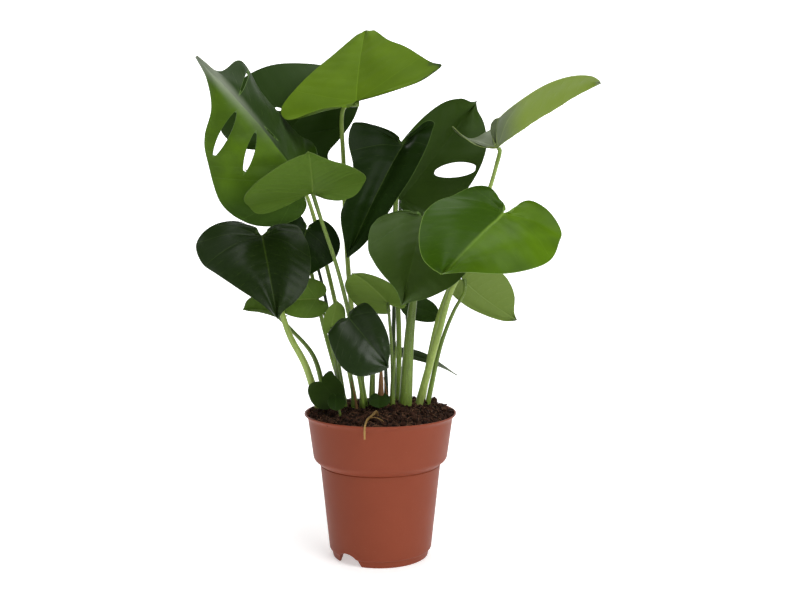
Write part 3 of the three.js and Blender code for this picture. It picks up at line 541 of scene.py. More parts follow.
# look is the blade's finish. relief says how deep the fields between its veins bulge, how far it
# swells, how high each half arches and how wide the fold at the midrib is rounded. base is where the
# petiole meets the blade, and tip, left, right and the lobes are its far ends. arch lifts the midrib
# and wave the margin. The petiole starts at foot, passes via, thins from the first radius of stem to
# the second and is green unless stalk says otherwise. top, centre, frontRound and the stalk of
# edgeLeft are a little freer than the coarse source shape.
leafShapes = {
    "top": dict(
        look="sunLeaf", relief=(0.25, 0.5, 2, 16), base=(-32, 0, 626), tip=(-23, 130, 743),
        left=(-136, 30, 616), right=(76, -35, 664), leftLobe=(-76, -25, 611.5), rightLobe=(5, -30, 633),
        arch=4, wave=2, outline=("bluntWedge", "cornered"), foot=(-20, 42), stem=(4.2, 2.8), stalk="pale",
        via=[(-37, 42, 300), (-47, 34, 420), (-51, 28, 540), (-50, 24, 620)]),
    "topRight": dict(
        look="curledLeaf", relief=(0.3, 0.5, 3, 4), base=(160, 0, 565), tip=(316, 85, 661),
        left=(152, 62, 591), right=(170, -50, 611), leftLobe=(102, 45, 596), rightLobe=(149, -22, 584),
        arch=2, wave=2, outline=("wedge", "blunt"), foot=(56, 62), stem=(5, 2.6), stalk="pale",
        via=[(84, 66, 326), (112, 60, 400), (150, 40, 500), (160, 16, 540)]),
    "backLeft": dict(
        look="darkLeaf", relief=(0.15, 0.4, 4, 6), base=(-140, 100, 586), tip=(-55, 150, 695),
        left=(-226, 100, 642), right=(-63, 108, 580), leftLobe=(-204, 84, 569), rightLobe=(-66, 95, 546),
        arch=8, wave=3, foot=(-48, 74), stem=(3.6, 2.4),
        via=[(-82, 84, 300), (-110, 100, 420), (-138, 118, 540)]),
    "slotted": dict(
        look="slottedLeaf", relief=(0.35, 0.7, 3, 4), base=(-107, -20, 521), tip=(-237, -60, 675),
        left=(-208, -60, 484), right=(-125, 50, 602), leftLobe=(-108, -30, 468), rightLobe=(-85, 5, 549),
        arch=10, wave=3, outline=("waisted", "shouldered"), foot=(-34, 56), stem=(3.8, 2.6), stalk="pale",
        via=[(-62, 60, 330), (-84, 44, 430), (-100, 10, 496)]),
    "frontRight": dict(
        look="brightLeaf", relief=(0.28, 0.6, 4, 18), base=(159, -95, 474), tip=(76, -172, 400),
        left=(227, -112, 435), right=(77, -112, 488), leftLobe=(195, -82, 491), rightLobe=(140, -86, 506),
        arch=14, wave=2.5, outline=("full", "blunt"), foot=(50, 36), stem=(6.2, 2.8), stalk="pale",
        via=[(80, 2, 306), (100, -34, 380), (138, -66, 440)]),
    "midLeft": dict(
        look="softLeaf", relief=(0.3, 0.5, 2.5, 6), base=(-86, -70, 501), tip=(-82, -165, 546),
        left=(-17, -62, 521), right=(-170, -95, 487), leftLobe=(-52, -42, 489),
        rightLobe=(-140, -58, 477), arch=-3, wave=2, outline=("wedge", "heart"), foot=(-18, 8),
        stem=(3.6, 2.4), via=[(-38, -12, 316), (-56, -40, 400), (-76, -60, 466)]),
    "leftHeart": dict(
        look="deepLeaf", relief=(0.3, 0.6, 5, 8), base=(-153, -60, 444), tip=(-126, -122, 341),
        left=(-93, -62, 431), right=(-237, -75, 429), leftLobe=(-122, -45, 462),
        rightLobe=(-189, -48, 464), arch=12, wave=3, outline=("heart", "pointed"), foot=(-82, 22),
        stem=(6, 2.8), stalk="pale", via=[(-104, 12, 262), (-126, -2, 310), (-148, -28, 400)]),
    "shadowLeft": dict(
        look="satinLeaf", relief=(0.3, 0.4, 3, 4), base=(-103, 20, 451), tip=(-123, -12, 373),
        left=(-56, 14, 426), right=(-151, 4, 440), leftLobe=(-83, 26, 466), rightLobe=(-116, 24, 472),
        arch=8, wave=2, outline=("pointed", "heart"), foot=(-58, 40), stem=(3, 2), stalk="dark",
        via=[(-67, 40, 288), (-78, 42, 352), (-93, 44, 412)]),
    "centre": dict(
        look="satinLeaf", relief=(0.45, 0.7, 4, 8), base=(31, 20, 567), tip=(-43, -32, 414),
        left=(66, 0, 573), right=(-41, 0, 576), leftLobe=(63, 12, 599), rightLobe=(-8, 8, 596), arch=14,
        wave=4, outline=("long", "billowed"), foot=(24, 58), stem=(4, 3.6),
        via=[(26, 62, 300), (20, 58, 420), (22, 52, 500), (28, 40, 545)]),
    "backRight": dict(
        look="shadeLeaf", relief=(0.4, 0.7, 4, 6), base=(30, 108, 497), tip=(141, 140, 642),
        left=(23, 86, 570), right=(108, 102, 487), leftLobe=(-14, 98, 529), rightLobe=(64, 92, 459),
        arch=8, wave=3, foot=(20, 84), stem=(3.6, 2.4), stalk="dark",
        via=[(18, 104, 300), (22, 116, 420), (27, 126, 470)]),
    "centreRight": dict(
        look="midLeaf", relief=(0.35, 0.6, 4, 8), base=(56, -50, 469), tip=(29, -98, 356),
        left=(129, -64, 435), right=(-12, -70, 451), leftLobe=(83, -42, 480), rightLobe=(25, -50, 477),
        arch=12, wave=3, outline=("heart", "pointed"), foot=(34, 22), stem=(10.5, 2.6),
        via=[(42, 8, 320), (50, -4, 390), (56, -28, 445)]),
    "lowRight": dict(
        look="youngLeaf", relief=(0.3, 0.5, 3, 4), base=(116, 50, 380), tip=(202, 112, 316),
        left=(106, 34, 358), right=(153, 72, 403), leftLobe=(98, 34, 378), rightLobe=(120, 52, 403),
        arch=8, wave=2, outline=("blunt", "full"), foot=(64, 46), stem=(4.2, 2.2),
        via=[(86, 40, 290), (104, 36, 338), (118, 34, 364)]),
    "smallLeft": dict(
        look="softLeaf", relief=(0.25, 0.3, 1.5, 2), base=(-89, 10, 356), tip=(-150, 12, 351),
        left=(-93, -6, 331), right=(-100, 12, 385), arch=4, wave=1.5, foot=(-46, 14), stem=(2.6, 1.8),
        via=[(-66, 20, 300), (-82, 24, 340)]),
    "edgeLeft": dict(
        look="softLeaf", relief=(0.25, 0.3, 1.5, 2), base=(-143, 30, 333), tip=(-193, 22, 340),
        left=(-151, 14, 332), right=(-160, 40, 356), arch=3, wave=1, foot=(-76, 52), stem=(4.6, 2.4),
        via=[(-96, 48, 270), (-128, 44, 310)]),
    "paleCentre": dict(
        look="freshLeaf", relief=(0.25, 0.3, 2, 3), base=(11, -20, 353), tip=(-36, -52, 395),
        left=(26, -10, 367), right=(-30, -2, 346), arch=6, wave=2, foot=(18, 4), stem=(3, 2),
        via=[(16, -6, 286), (13, -22, 330)]),
    "paleLow": dict(
        look="freshLeaf", relief=(0.2, 0.2, 1, 2), base=(-67, -10, 318), tip=(-57, -24, 356),
        left=(-49, -8, 323), right=(-78, -14, 325), arch=3, wave=1, foot=(-44, 0), stem=(3, 1.8),
        via=[(-60, -6, 262), (-67, -14, 300)]),
    "frontRound": dict(
        look="glossyLeaf", relief=(0.25, 0.4, 4, 4), base=(-39, -74, 338), tip=(13, -98, 276),
        left=(-10, -78, 353), right=(-62, -89, 309), leftLobe=(-33, -68, 350), rightLobe=(-55, -72, 331),
        arch=6, wave=2, outline=("heart", "round"), foot=(-20, -14), stem=(2.6, 2),
        via=[(-28, -28, 250), (-38, -44, 300), (-41, -56, 324)]),
    "shadowRight": dict(
        look="darkLeaf", relief=(0.25, 0.2, 1.5, 2), base=(39, 96, 339), tip=(87, 112, 322),
        left=(53, 108, 353), right=(49, 92, 318), arch=4, wave=1, foot=(42, 82), stem=(2.4, 1.7),
        stalk="dark", via=[(43, 98, 272), (37, 108, 322)]),
    "lowLeft": dict(
        look="shadeLeaf", relief=(0.25, 0.2, 1.5, 2), base=(-79, -22, 244), tip=(-53, -30, 216),
        left=(-56, -22, 248), right=(-93, -24, 218), leftLobe=(-70, -16, 259), rightLobe=(-96, -20, 241),
        arch=4, wave=1, foot=(-60, 0), stem=(2.2, 1.7), via=[(-70, -2, 222), (-78, -10, 238)]),
    "lowFront": dict(
        look="darkLeaf", relief=(0.2, 0.1, 1, 1), base=(-59, -50, 231), tip=(-57, -62, 213),
        left=(-45, -54, 226), right=(-69, -56, 225), arch=2, wave=0.6, foot=(-50, -50), stem=(2, 1.5),
        via=[(-55, -50, 217)]),
    "lowCentre": dict(
        look="darkLeaf", relief=(0.2, 0.1, 1, 1), base=(-1, -16, 225), tip=(-1, -34, 211),
        left=(14, -22, 221), right=(-16, -24, 221), arch=2, wave=0.5, foot=(2, -2), stem=(2, 1.5),
        via=[(0, -6, 214)]),
    "narrowRight": dict(
        look="thinLeaf", relief=(0.2, 0.3, 1, 2), base=(23, 80, 272), tip=(112, 92, 236),
        left=(39, 88, 276), right=(30, 74, 264), arch=9, wave=1, outline=("tailed", "tailed"),
        foot=(36, 76), stem=(2.2, 1.5), via=[(31, 80, 240)]),
}
openings = {
    "slotted": [
        dict(side="left", start=(118, 12), end=(76, 78), width=11, round=0.8),
        dict(side="left", start=(84, 8), end=(38, 62), width=10, round=0.9),
        dict(side="right", start=(130, 7), end=(112, 96), width=5, round=0.6),
        dict(side="right", start=(80, 7), end=(50, 13), width=4, round=0.6),
    ],
    "backLeft": [dict(side="left", start=(29, 39), end=(33, 27), width=5, round=0.6)],
    "backRight": [dict(side="right", start=(53, 15), end=(80, 63), width=26, round=0.5)],
}


# widest is where the halves are widest, as a share of the length; lobeOut and lobeBack place a lobe
# that has no point of its own. The relief is full on a blade of fullLength or more, and fades within
# calmEdge of a margin and where the veins of a field are closer than fieldRoom.
bladeSizes = dict(thickness=0.9, ribDepth=1.8, ribWidth=1.3, grooveDepth=0.5, grooveWidth=1.6, ridgeDepth=0.3,
                  ridgeWidth=0.7, veinLean=0.55, veinBow=0.05, widest=0.08, lobeOut=0.38, lobeBack=0.28,
                  fullLength=130, calmEdge=6, fieldRoom=9)
# by length: rows behind and ahead of the petiole, steps to the margin, veins in a lobe and ahead
bladeGrids = {60: (16, 34, 14, 2, 5), 100: (26, 54, 20, 3, 6), 1000: (40, 84, 30, 4, 8)}
openGrid = (56, 130, 64, 4, 8)


def bladeFrame(leaf):
    # the midrib, and for each half the way out to its widest point and back to the end of its lobe
    sizes = SimpleNamespace(**bladeSizes)
    base, tip, left, right = (np.array(leaf[k], float) for k in ("base", "tip", "left", "right"))
    run = tip - base
    length = np.linalg.norm(run)
    out = {"left": left - base - sizes.widest * run, "right": right - base - sizes.widest * run}
    up = np.cross(run, out["left"] - out["right"])
    up /= np.linalg.norm(up)
    start = run + 4 * leaf["arch"] * up
    shape = dict(base=base, run=run, length=length, out=out, up=up, start=start)
    for side in ("left", "right"):
        lobe = sizes.lobeOut * out[side] - sizes.lobeBack * run
        if side + "Lobe" in leaf:
            lobe = np.array(leaf[side + "Lobe"], float) - base
        back = lobe - sizes.lobeOut * out[side]
        shape[side] = dict(width=np.linalg.norm(out[side]), lobe=np.linalg.norm(back),
                           bend=back + start * np.linalg.norm(back) / length)
    return shape


def placeOnBlade(leaf, shape, side, x, out, ripple):
    # base + out-share * outward + ripple * up, then along the arched midrib or back along the lobe
    s = (x / shape["length"])[..., None]
    w = (out / shape[side]["width"])[..., None]
    point = shape["base"] + w * shape["out"][side] + ripple[..., None] * shape["up"]
    ahead = s * shape["run"] + 4 * leaf["arch"] * s * (1 - s) * shape["up"]
    share = (-x / shape[side]["lobe"])[..., None]
    behind = s * shape["start"] + share**2 * shape[side]["bend"]
    return point + np.where(s >= 0, ahead, behind)


def veinRows(shape, outlineName, side, behindRows, aheadRows):
    # each row is a vein: its root on the midrib, its end on the margin, its share of the outline
    half, length = shape[side], shape["length"]
    knots = np.array([[a * (half["lobe"] if a < 0 else length), 2 * b * half["width"], 0.0]
                      for a, b in halfOutlines[outlineName]])
    roots = np.linspace(0, length, aheadRows)
    low, high = np.full(aheadRows, 0.25), np.ones(aheadRows)
    for _ in range(40):  # halving finds the place of the outline where each vein ends
        middle = (low + high) / 2
        end = curveAt(knots, middle)
        less = end[:, 0] - bladeSizes["veinLean"] * end[:, 1] < roots
        low, high = np.where(less, middle, low), np.where(less, high, middle)
    share = np.concatenate([high[0] * np.arange(behindRows) / behindRows, high])
    share[-1] = 1.0
    return np.concatenate([np.zeros(behindRows), roots]), share, curveAt(knots, share)[:, :2]


def openingReach(opening, x, out):
    # place in an opening: a along it (0 to 1), b across it, and its half width there
    start, end = (np.array(opening[k], float) for k in ("start", "end"))
    run = np.linalg.norm(end - start)
    d = (end - start) / run
    a = ((x - start[0]) * d[0] + (out - start[1]) * d[1]) / run
    b = -(x - start[0]) * d[1] + (out - start[1]) * d[0]
    t = np.clip(a, 0, 1)
    return a, b, 0.5 * opening["width"] * (4 * t * (1 - t)) ** opening["round"], start, d, run


def bladeHalf(leaf, shape, index, half, side, counts, cuts):
    # a grid with a row for each vein, from the midrib (t = 0) to the margin (t = 1)
    behindRows, aheadRows, steps, lobeVeins, sideVeins = counts
    outlineName = leaf.get("outline", ("heart", "heart"))[half]
    root, share, end = veinRows(shape, outlineName, side, behindRows, aheadRows)
    t = np.linspace(0, 1, steps + 1)[None, :]
    gap = end - np.stack([root, np.zeros_like(root)], 1)
    run = np.linalg.norm(gap, axis=1)
    d = np.where(run[:, None] > 0, gap / np.maximum(run, 1e-9)[:, None], [1.0, 0.0])
    bow = -bladeSizes["veinBow"] * run[:, None] * np.sin(np.pi * t)
    x = root[:, None] + d[:, :1] * run[:, None] * t + bow * d[:, 1:]
    out = d[:, 1:] * run[:, None] * t
    swing = np.sin(15 * share + 2.3 * index + 2 * half) * np.minimum(1, run / 14)
    ripple = leaf["wave"] * t**2 * swing[:, None]
    whole = placeOnBlade(leaf, shape, side, x, out, ripple)
    across = np.gradient(whole, axis=1)
    normals = np.cross(np.gradient(whole, axis=0), across)
    normals *= np.sign((normals @ shape["up"]).sum())
    normals[:, 0] = normals[:, 1]
    normals[-1] = normals[-2]
    normals = unit(normals)
    inside = np.zeros(x.shape, bool)
    edgeGap = (1 - t) * run[:, None] * 0.9
    for opening in cuts:
        a, b, reach, start, way, long = openingReach(opening, x, out)
        within = (a > 0) & (a < 1) & (np.abs(b) < reach)
        rim = np.where(b < 0, -1.0, 1.0) * reach
        x = np.where(within, start[0] + way[0] * a * long - way[1] * rim, x)
        out = np.where(within, start[1] + way[1] * a * long + way[0] * rim, out)
        beyond = np.maximum(np.maximum(-a, a - 1), 0) * long
        away = np.hypot(np.maximum(np.abs(b) - reach, 0), beyond)
        edgeGap = np.minimum(edgeGap, np.where(within, 0, away))
        inside |= within
    sinus = np.abs(x * end[0, 1] - out * end[0, 0]) / np.linalg.norm(end[0])
    edgeGap = np.where((x < 0) & (x > end[0, 0] * 1.1), np.minimum(edgeGap, sinus), edgeGap)
    points = placeOnBlade(leaf, shape, side, x, out, ripple)
    q = np.concatenate([lobeVeins * (np.arange(behindRows) / behindRows - 1),
                        sideVeins * np.linspace(0, 1, aheadRows)])[:, None]
    q = q + 0.28 * t * (q > 0)
    spacing = np.linalg.norm(np.gradient(points, axis=0), axis=2) / np.maximum(np.gradient(q, axis=0), 1e-6)
    veinGap = np.abs(q - np.round(q)) * spacing
    fineGap = np.abs(4 * q - np.round(4 * q)) * spacing / 4
    full = np.ones_like(x)
    return dict(points=points, normals=normals, x=x, out=out, t=t * full, root=root[:, None] * full,
                leftHalf=(1 - half) * full, inside=inside, edgeGap=edgeGap, veinGap=veinGap,
                fineGap=fineGap, q=q * full, spacing=spacing)


def roundCrease(pieces, behindRows, length, width):
    # where the two halves meet, half the sum of their ways out, times sqrt(out^2 + w^2) - out
    ways = [unit(part["points"][behindRows:, 4] - part["points"][behindRows:, 0]) for part in pieces]
    along = unit(np.gradient(pieces[0]["points"][behindRows:, 0], axis=0))
    total = 0.5 * (ways[0] + ways[1])
    total -= (total * along).sum(1)[:, None] * along
    share = pieces[0]["root"][behindRows:, 0] / length
    w = width * np.clip(6 * share, 0, 1) * np.clip(9 * (1 - share), 0, 1)
    for part in pieces:
        out = part["out"][behindRows:]
        lift = np.sqrt(out**2 + w[:, None] ** 2) - out
        part["points"][behindRows:] += total[:, None, :] * lift[..., None]


def bladeObject(name, leaf, index, cuts):
    shape = bladeFrame(leaf)
    length = shape["length"]
    counts = openGrid if cuts else next(grid for longest, grid in bladeGrids.items() if length < longest)
    behindRows, aheadRows, steps = counts[:3]
    rows = behindRows + aheadRows
    # both halves share the midrib's points, which come first
    total = aheadRows
    pieces, numbers = [], []
    for half, side in enumerate(("left", "right")):
        own = [opening for opening in cuts if opening["side"] == side]
        pieces.append(bladeHalf(leaf, shape, index, half, side, counts, own))
        number = np.zeros((rows, steps + 1), int)
        number[behindRows:, 0] = np.arange(aheadRows)
        number[:-1, 1:] = total + np.arange((rows - 1) * steps).reshape(rows - 1, steps)
        number[-1, :] = aheadRows - 1
        total += (rows - 1) * steps
        numbers.append(number)
    bulge, swell, rise, crease = leaf["relief"]
    roundCrease(pieces, behindRows, length, crease)
    fields = {}
    for key, first in pieces[0].items():
        fields[key] = np.zeros((total, *first.shape[2:]))
        for part, number in zip(pieces, numbers):
            fields[key][number[:-1].ravel()] = part[key][:-1].reshape(-1, *first.shape[2:])
            fields[key][number[-1, 0]] = part[key][-1, 0]
    f, b = SimpleNamespace(**fields), SimpleNamespace(**bladeSizes)
    quads = np.vstack([gridFaces(numbers[0])[:, ::-1], gridFaces(numbers[1])])
    whole, triangles = tidyFaces(quads[~(f.inside[quads] > 0.5).all(1)])
    for part, number in zip(pieces, numbers):
        f.normals[number[behindRows:, 0]] += 0.5 * part["normals"][behindRows:, 1]
        f.normals[number[:behindRows, 0]] = shape["up"]
    f.normals[0] = shape["up"]
    normals = unit(f.normals)
    # heights over the plain sheet: a dome in each half, bulging fields between the veins, a groove
    # over the midrib and slow swells; on the underside also the midrib and the ridges of the veins
    ribRoom = 1 - 0.75 * np.clip(f.root / length, 0, 1)
    size = min(1, length / b.fullLength)
    calm = np.clip(f.edgeGap / b.calmEdge, 0, 1)
    room = np.clip(f.spacing / b.fieldRoom, 0, 1)
    dome = rise * size * np.sin(np.pi * f.t) ** 2 * room
    quilt = bulge * size * np.sin(np.pi * f.q) ** 2 * room * calm
    groove = b.grooveDepth * size * np.exp(-(f.out / b.grooveWidth) ** 2) * calm
    drift = np.sin(f.x * 0.09 + index) * np.sin(f.out * 0.11 + 2 * index)
    drift = swell * size * drift * calm
    rib = b.ribDepth * size * ribRoom * np.exp(-(f.out / (b.ribWidth + 0.9 * ribRoom)) ** 2)
    ridge = b.ridgeDepth * size * np.exp(-(f.veinGap / b.ridgeWidth) ** 2) * calm
    half = b.thickness / 2
    top = f.points + normals * (half + dome + quilt - groove + drift)[:, None]
    under = f.points + normals * (-half + dome + 0.8 * quilt - rib - ridge + drift)[:, None]
    # a wall joins the two sheets along every edge that only one face has
    edges = [np.stack([part, np.roll(part, -1, 1)], -1).reshape(-1, 2) for part in (whole, triangles)]
    start, end = np.vstack(edges).T
    lone = ~np.isin(end * total + start, start * total + end)
    start, end = start[lone], end[lone]
    walls = np.stack([end, start, start + total, end + total], 1)
    used = np.unique(np.concatenate([whole.ravel(), triangles.ravel()]))
    keep = np.concatenate([used, used + total])
    renumber = np.full(2 * total, -1)
    renumber[keep] = np.arange(len(keep))
    sheets = (whole, triangles, (whole + total)[:, ::-1], (triangles + total)[:, ::-1], walls)
    labels = dict(ribDistance=f.out, veinDistance=f.veinGap, fineDistance=f.fineGap, marginDistance=f.edgeGap,
                  alongBlade=f.x, outBlade=f.out, leftHalf=f.leftHalf, tipShare=f.x / length)
    values = {label: np.tile(value, 2)[keep] for label, value in labels.items()}
    values["upperSide"] = (keep < total).astype(float)
    piece = buildObject(name, np.vstack([top, under])[keep], [renumber[part] for part in sheets], values)
    return piece, under[0], normals[0]


potSizes = dict(height=200, wall=1.8, floor=3, footRadius=66.5, footHeight=9, bodyRadius=71,
                bodyTopRadius=83.5, bodyTop=129, collarRadius=92.5, collarBottom=137,
                collarTopRadius=100.3, lipRadius=105, lipHeight=6, hubRadius=24, floorRise=18,
                ringRadius=63, drains=8, drainRadius=5, drainRing=42, notchAngles=(-129, 51),
                notchHalf=21, notchStraight=7.4, notchRound=9.1)
soilSizes = dict(rimLevel=196, mound=10, roughness=1.6, edge=98.4, bottom=21.4, wallGap=0.8, sides=220,
                 rings=90)
stemDepth = 14  # how deep every stem stands in the soil


def soilLevel(x, y):
    # the source's soil: a round mound with slow crossed sines
    r = np.hypot(x, y) / potSizes["lipRadius"]
    mound = soilSizes["mound"] * np.maximum(0, 1 - r * r)
    crumbs = np.sin(0.21 * x + 1.3) * np.cos(0.17 * y - 0.6) + 0.5 * np.sin(0.43 * x + 0.37 * y)
    return soilSizes["rimLevel"] + mound + soilSizes["roughness"] * crumbs


def stemPath(stem, steps, *ending):
    # from under the soil through the points that the stem passes
    x, y = stem["foot"]
    return evenPath([(x, y, float(soilLevel(x, y)) - stemDepth), *stem["via"], *ending], steps)


def tubeObject(name, *tube):
    return turnOutward(buildObject(name, *tubeMesh(*tube)))


def grooved(along, angle):
    # a groove down one side that fades upwards, and slow ribs
    groove = 0.1 * np.exp(-(((angle - 4.7) / 0.5) ** 2)) * (1 - along)
    return 1 - groove + 0.02 * np.sin(3 * angle + 9 * along)


def petioleObject(name, leaf, socket, up):
    # a stalk with a straight knee under the blade; radius = taper + knee, and a flare at the blade
    foot, top = leaf["stem"]
    end = socket - 0.2 * up
    path = stemPath(leaf, 90, end - 1.2 * top * up, end)
    t = np.linspace(0, 1, 90)
    radii = top + (foot - top) * (1 - t) ** 1.15 + 0.15 * top * np.maximum(0, 1 - np.abs(t - 0.96) / 0.06)
    radii = radii * (1 + 0.1 * np.exp(-((1 - t) / 0.012) ** 2))
    return tubeObject(name, path, radii, 20, grooved)


for index, (name, leaf) in enumerate(leafShapes.items()):
    blade, socket, up = bladeObject("blade_" + name, leaf, index, openings.get(name, []))
    settle(blade, leafFinishes[leaf["look"]]["slot"], leafMaterials[leaf["look"]], "leaf_" + name)
    stalk = petioleObject("stalk_" + name, leaf, socket, up)
    settle(stalk, "petiole", petioleMaterials[leaf.get("stalk", "green")], "petiole_" + name)
print("leaves and petioles ready")


def roundedProfile(corners):
    # a profile of radius, height and rounding: each corner is a short parabola between its sides
    points = np.array([c[:2] for c in corners], float)
    rows = [points[:1]]
    t = np.linspace(0, 1, 7)[:, None]
    for i in range(1, len(points) - 1):
        a, b, c = points[i - 1], points[i], points[i + 1]
        bend = corners[i][2]
        p = b + (a - b) * min(0.49, bend / np.linalg.norm(a - b))
        q = b + (c - b) * min(0.49, bend / np.linalg.norm(c - b))
        rows.append((1 - t) ** 2 * p + 2 * t * (1 - t) * b + t**2 * q)
    rows.append(points[-1:])
    return np.vstack(rows)


def latheObject(name, profile, sides):
    # a profile that starts and ends on the axis, turned around it; its ends are single points
    angle = fullTurn(sides)
    r, z = profile[1:-1].T[..., None]
    ends = [(0, 0, profile[k, 1]) for k in (0, -1)]
    return turnOutward(buildObject(name, *closeRings(spots(r * np.cos(angle), r * np.sin(angle), z), *ends)))


def prismObject(name, low, high):
    # side walls between two rings of points, and a cap on each
    count = len(low)
    ring = np.arange(count)
    sides = np.stack([ring, np.roll(ring, -1), np.roll(ring, -1) + count, ring + count], 1)
    faces = [sides, ring[None, ::-1], ring[None] + count]
    return turnOutward(plainObject(name, np.vstack([low, high]), faces))


def innerRadius(z):
    # radius of the pot's inner wall: straight lines between four stations, less the wall
    p = SimpleNamespace(**potSizes)
    heights = [p.floorRise + p.floor, p.bodyTop + 2, p.collarBottom + 2, p.height]
    radii = [p.bodyRadius, p.bodyTopRadius, p.collarRadius, p.collarTopRadius + 0.7]
    return float(np.interp(z, heights, radii)) - p.wall


def makePot():
    p = SimpleNamespace(**potSizes)
    floorTop = p.floorRise + p.floor
    inner = [(innerRadius(z), z, bend) for z, bend in ((194, 2.5), (139, 2.0), (131, 2.0), (floorTop, 1.5))]
    corners = [
        (0, 0, 0), (p.hubRadius, 0, 0.8), (p.hubRadius + 2, p.floorRise, 0.8),
        (p.ringRadius - 1, p.floorRise, 0.8), (p.ringRadius, 0, 0.4), (p.footRadius - 0.2, 0, 0.9),
        (p.footRadius + 1.5, p.footHeight, 0.8), (p.bodyRadius, p.footHeight + 1.5, 2.0),
        (p.bodyTopRadius - 0.1, p.bodyTop - 1.4, 0.4), (p.bodyTopRadius - 1, p.bodyTop - 0.5, 0.3),
        (p.bodyTopRadius + 0.7, p.bodyTop + 0.5, 0.5), (p.collarRadius, p.collarBottom, 3.5),
        (p.collarTopRadius, p.height - p.lipHeight, 3.0), (p.lipRadius, p.height - 1.6, 0.6),
        (p.lipRadius, p.height, 0.6), (p.lipRadius - 2, p.height, 0.6), *inner, (0, floorTop, 0),
    ]
    pot = latheObject("potBody", roundedProfile(corners), 240)
    cutters = []
    around = fullTurn(24)
    for angle in fullTurn(p.drains):
        x = p.drainRadius * np.cos(around) + p.drainRing * math.cos(angle)
        y = p.drainRadius * np.sin(around) + p.drainRing * math.sin(angle)
        cutters.append(prismObject("drain", *(spots(x, y, z) for z in (2.0, 30.0))))
    # an arch through the foot ring: wide below, round above
    u = np.linspace(0, 1, 14)
    rise = p.notchStraight + p.notchRound * np.sin(0.5 * np.pi * u) ** 0.9
    right = np.stack([p.notchHalf * 0.78 * (1 - u**1.5), rise], 1)
    arch = np.vstack([[[-p.notchHalf, -2], [p.notchHalf, -2]], right, right[-2::-1] * [-1, 1]])
    x, z = arch.T
    for angle in p.notchAngles:
        c, s = math.cos(math.radians(angle + 90)), math.sin(math.radians(angle + 90))
        cutters.append(prismObject("notch", *(spots(c * x - s * y, s * x + c * y, z) for y in (-78, -48))))
    for cutter in cutters:
        cut = pot.modifiers.new("cut", "BOOLEAN")
        cut.operation, cut.solver, cut.object = "DIFFERENCE", "EXACT", cutter
    solid = bpy.data.meshes.new_from_object(pot.evaluated_get(bpy.context.evaluated_depsgraph_get()))
    pot.modifiers.clear()
    pot.data = solid
    for cutter in cutters:
        bpy.data.objects.remove(cutter)
    shadeSmooth(solid, 35)
    return pot


settle(makePot(), "pot", potPlastic, "pot")
print("pot ready")


def soilTop(x, y):
    # the source's mound, heaped higher along the back and right rim, with layered sines as clods
    heap = 3.2 * (np.hypot(x, y) / 97) ** 5 * np.clip(0.35 + (0.6 * x + y) / 150, 0, 1)
    total = soilLevel(x, y) + heap
    for k, (size, depth) in enumerate(((0.33, 1.0), (0.71, 0.7), (1.37, 0.45), (2.3, 0.3))):
        a = 0.4 + 1.9 * k
        u, v = x * math.cos(a) + y * math.sin(a), -x * math.sin(a) + y * math.cos(a)
        clods = np.sin(size * u + 3 * np.sin(0.37 * size * v + k)) * np.cos(size * v + a)
        total = total + 0.9 * depth * clods
    return total


def makeSoil():
    # a closed plug: walls just inside the pot and a rough mound on top
    bottom, edge, rings = (soilSizes[k] for k in ("bottom", "edge", "rings"))
    angle = fullTurn(soilSizes["sides"])
    c, s = np.cos(angle), np.sin(angle)
    walls = [(innerRadius(z) - soilSizes["wallGap"], z) for z in (bottom, 60, 100, 131, 139, 160, 190)]
    grid = [spots(r * c, r * s, z) for r, z in walls]
    grid += [spots(r * c, r * s, soilTop(r * c, r * s)) for r in np.linspace(edge, edge / rings, rings)]
    ends = (0, 0, bottom), (0, 0, float(soilTop(0.0, 0.0)))
    return turnOutward(buildObject("soilBed", *closeRings(np.array(grid), *ends)))


def scatter(rng, radius, count):
    # random places, even over a disc
    radius = radius * np.sqrt(rng.uniform(0, 1, count))
    angle = rng.uniform(0, 2 * np.pi, count)
    return radius * np.cos(angle), radius * np.sin(angle)


# size is the smallest radius and how much is added at most, stretch the range of each axis, and dents
# that of each corner
soilCrumbs = dict(seed=11, count=2800, spread=101, size=(0.8, 3.6), stretch=(0.35, 1.4), dents=(0.75, 1.2))


def makeCrumbs(crumbs):
    # twenty-sided lumps (golden rectangles give their corners), each stretched and turned by its own
    # random numbers
    rng = np.random.default_rng(crumbs["seed"])
    golden = (1 + 5**0.5) / 2
    ball = [np.roll((x, y * golden, 0), k) for k in range(3) for y in (1, -1) for x in (-1, 1)]
    ball = np.array(ball) / math.hypot(1, golden)
    sides = np.array([
        (0, 11, 5), (0, 5, 1), (0, 1, 7), (0, 7, 10), (0, 10, 11), (1, 5, 9), (5, 11, 4), (11, 10, 2),
        (10, 7, 6), (7, 1, 8), (3, 9, 4), (3, 4, 2), (3, 2, 6), (3, 6, 8), (3, 8, 9), (4, 9, 5), (2, 4, 11),
        (6, 2, 10), (8, 6, 7), (9, 8, 1)])
    count = crumbs["count"]
    x, y = scatter(rng, crumbs["spread"], count)
    smallest, more = crumbs["size"]
    scale = (smallest + more * rng.uniform(0, 1, count) ** 2.5)[:, None]
    scale = scale * rng.uniform(*crumbs["stretch"], (count, 3))
    turns = np.linalg.qr(rng.normal(size=(count, 3, 3)))[0]
    local = ball[None] * rng.uniform(*crumbs["dents"], (count, 12, 1)) * scale[:, None]
    middle = spots(x, y, soilTop(x, y) + 0.35 * scale.mean(1))
    points = np.einsum("nij,nkj->nki", turns, local) + middle[:, None]
    faces = sides[None] + 12 * np.arange(count)[:, None, None]
    return buildObject("soilCrumbs", points.reshape(-1, 3), [faces.reshape(-1, 3)], sharpAngle=30)


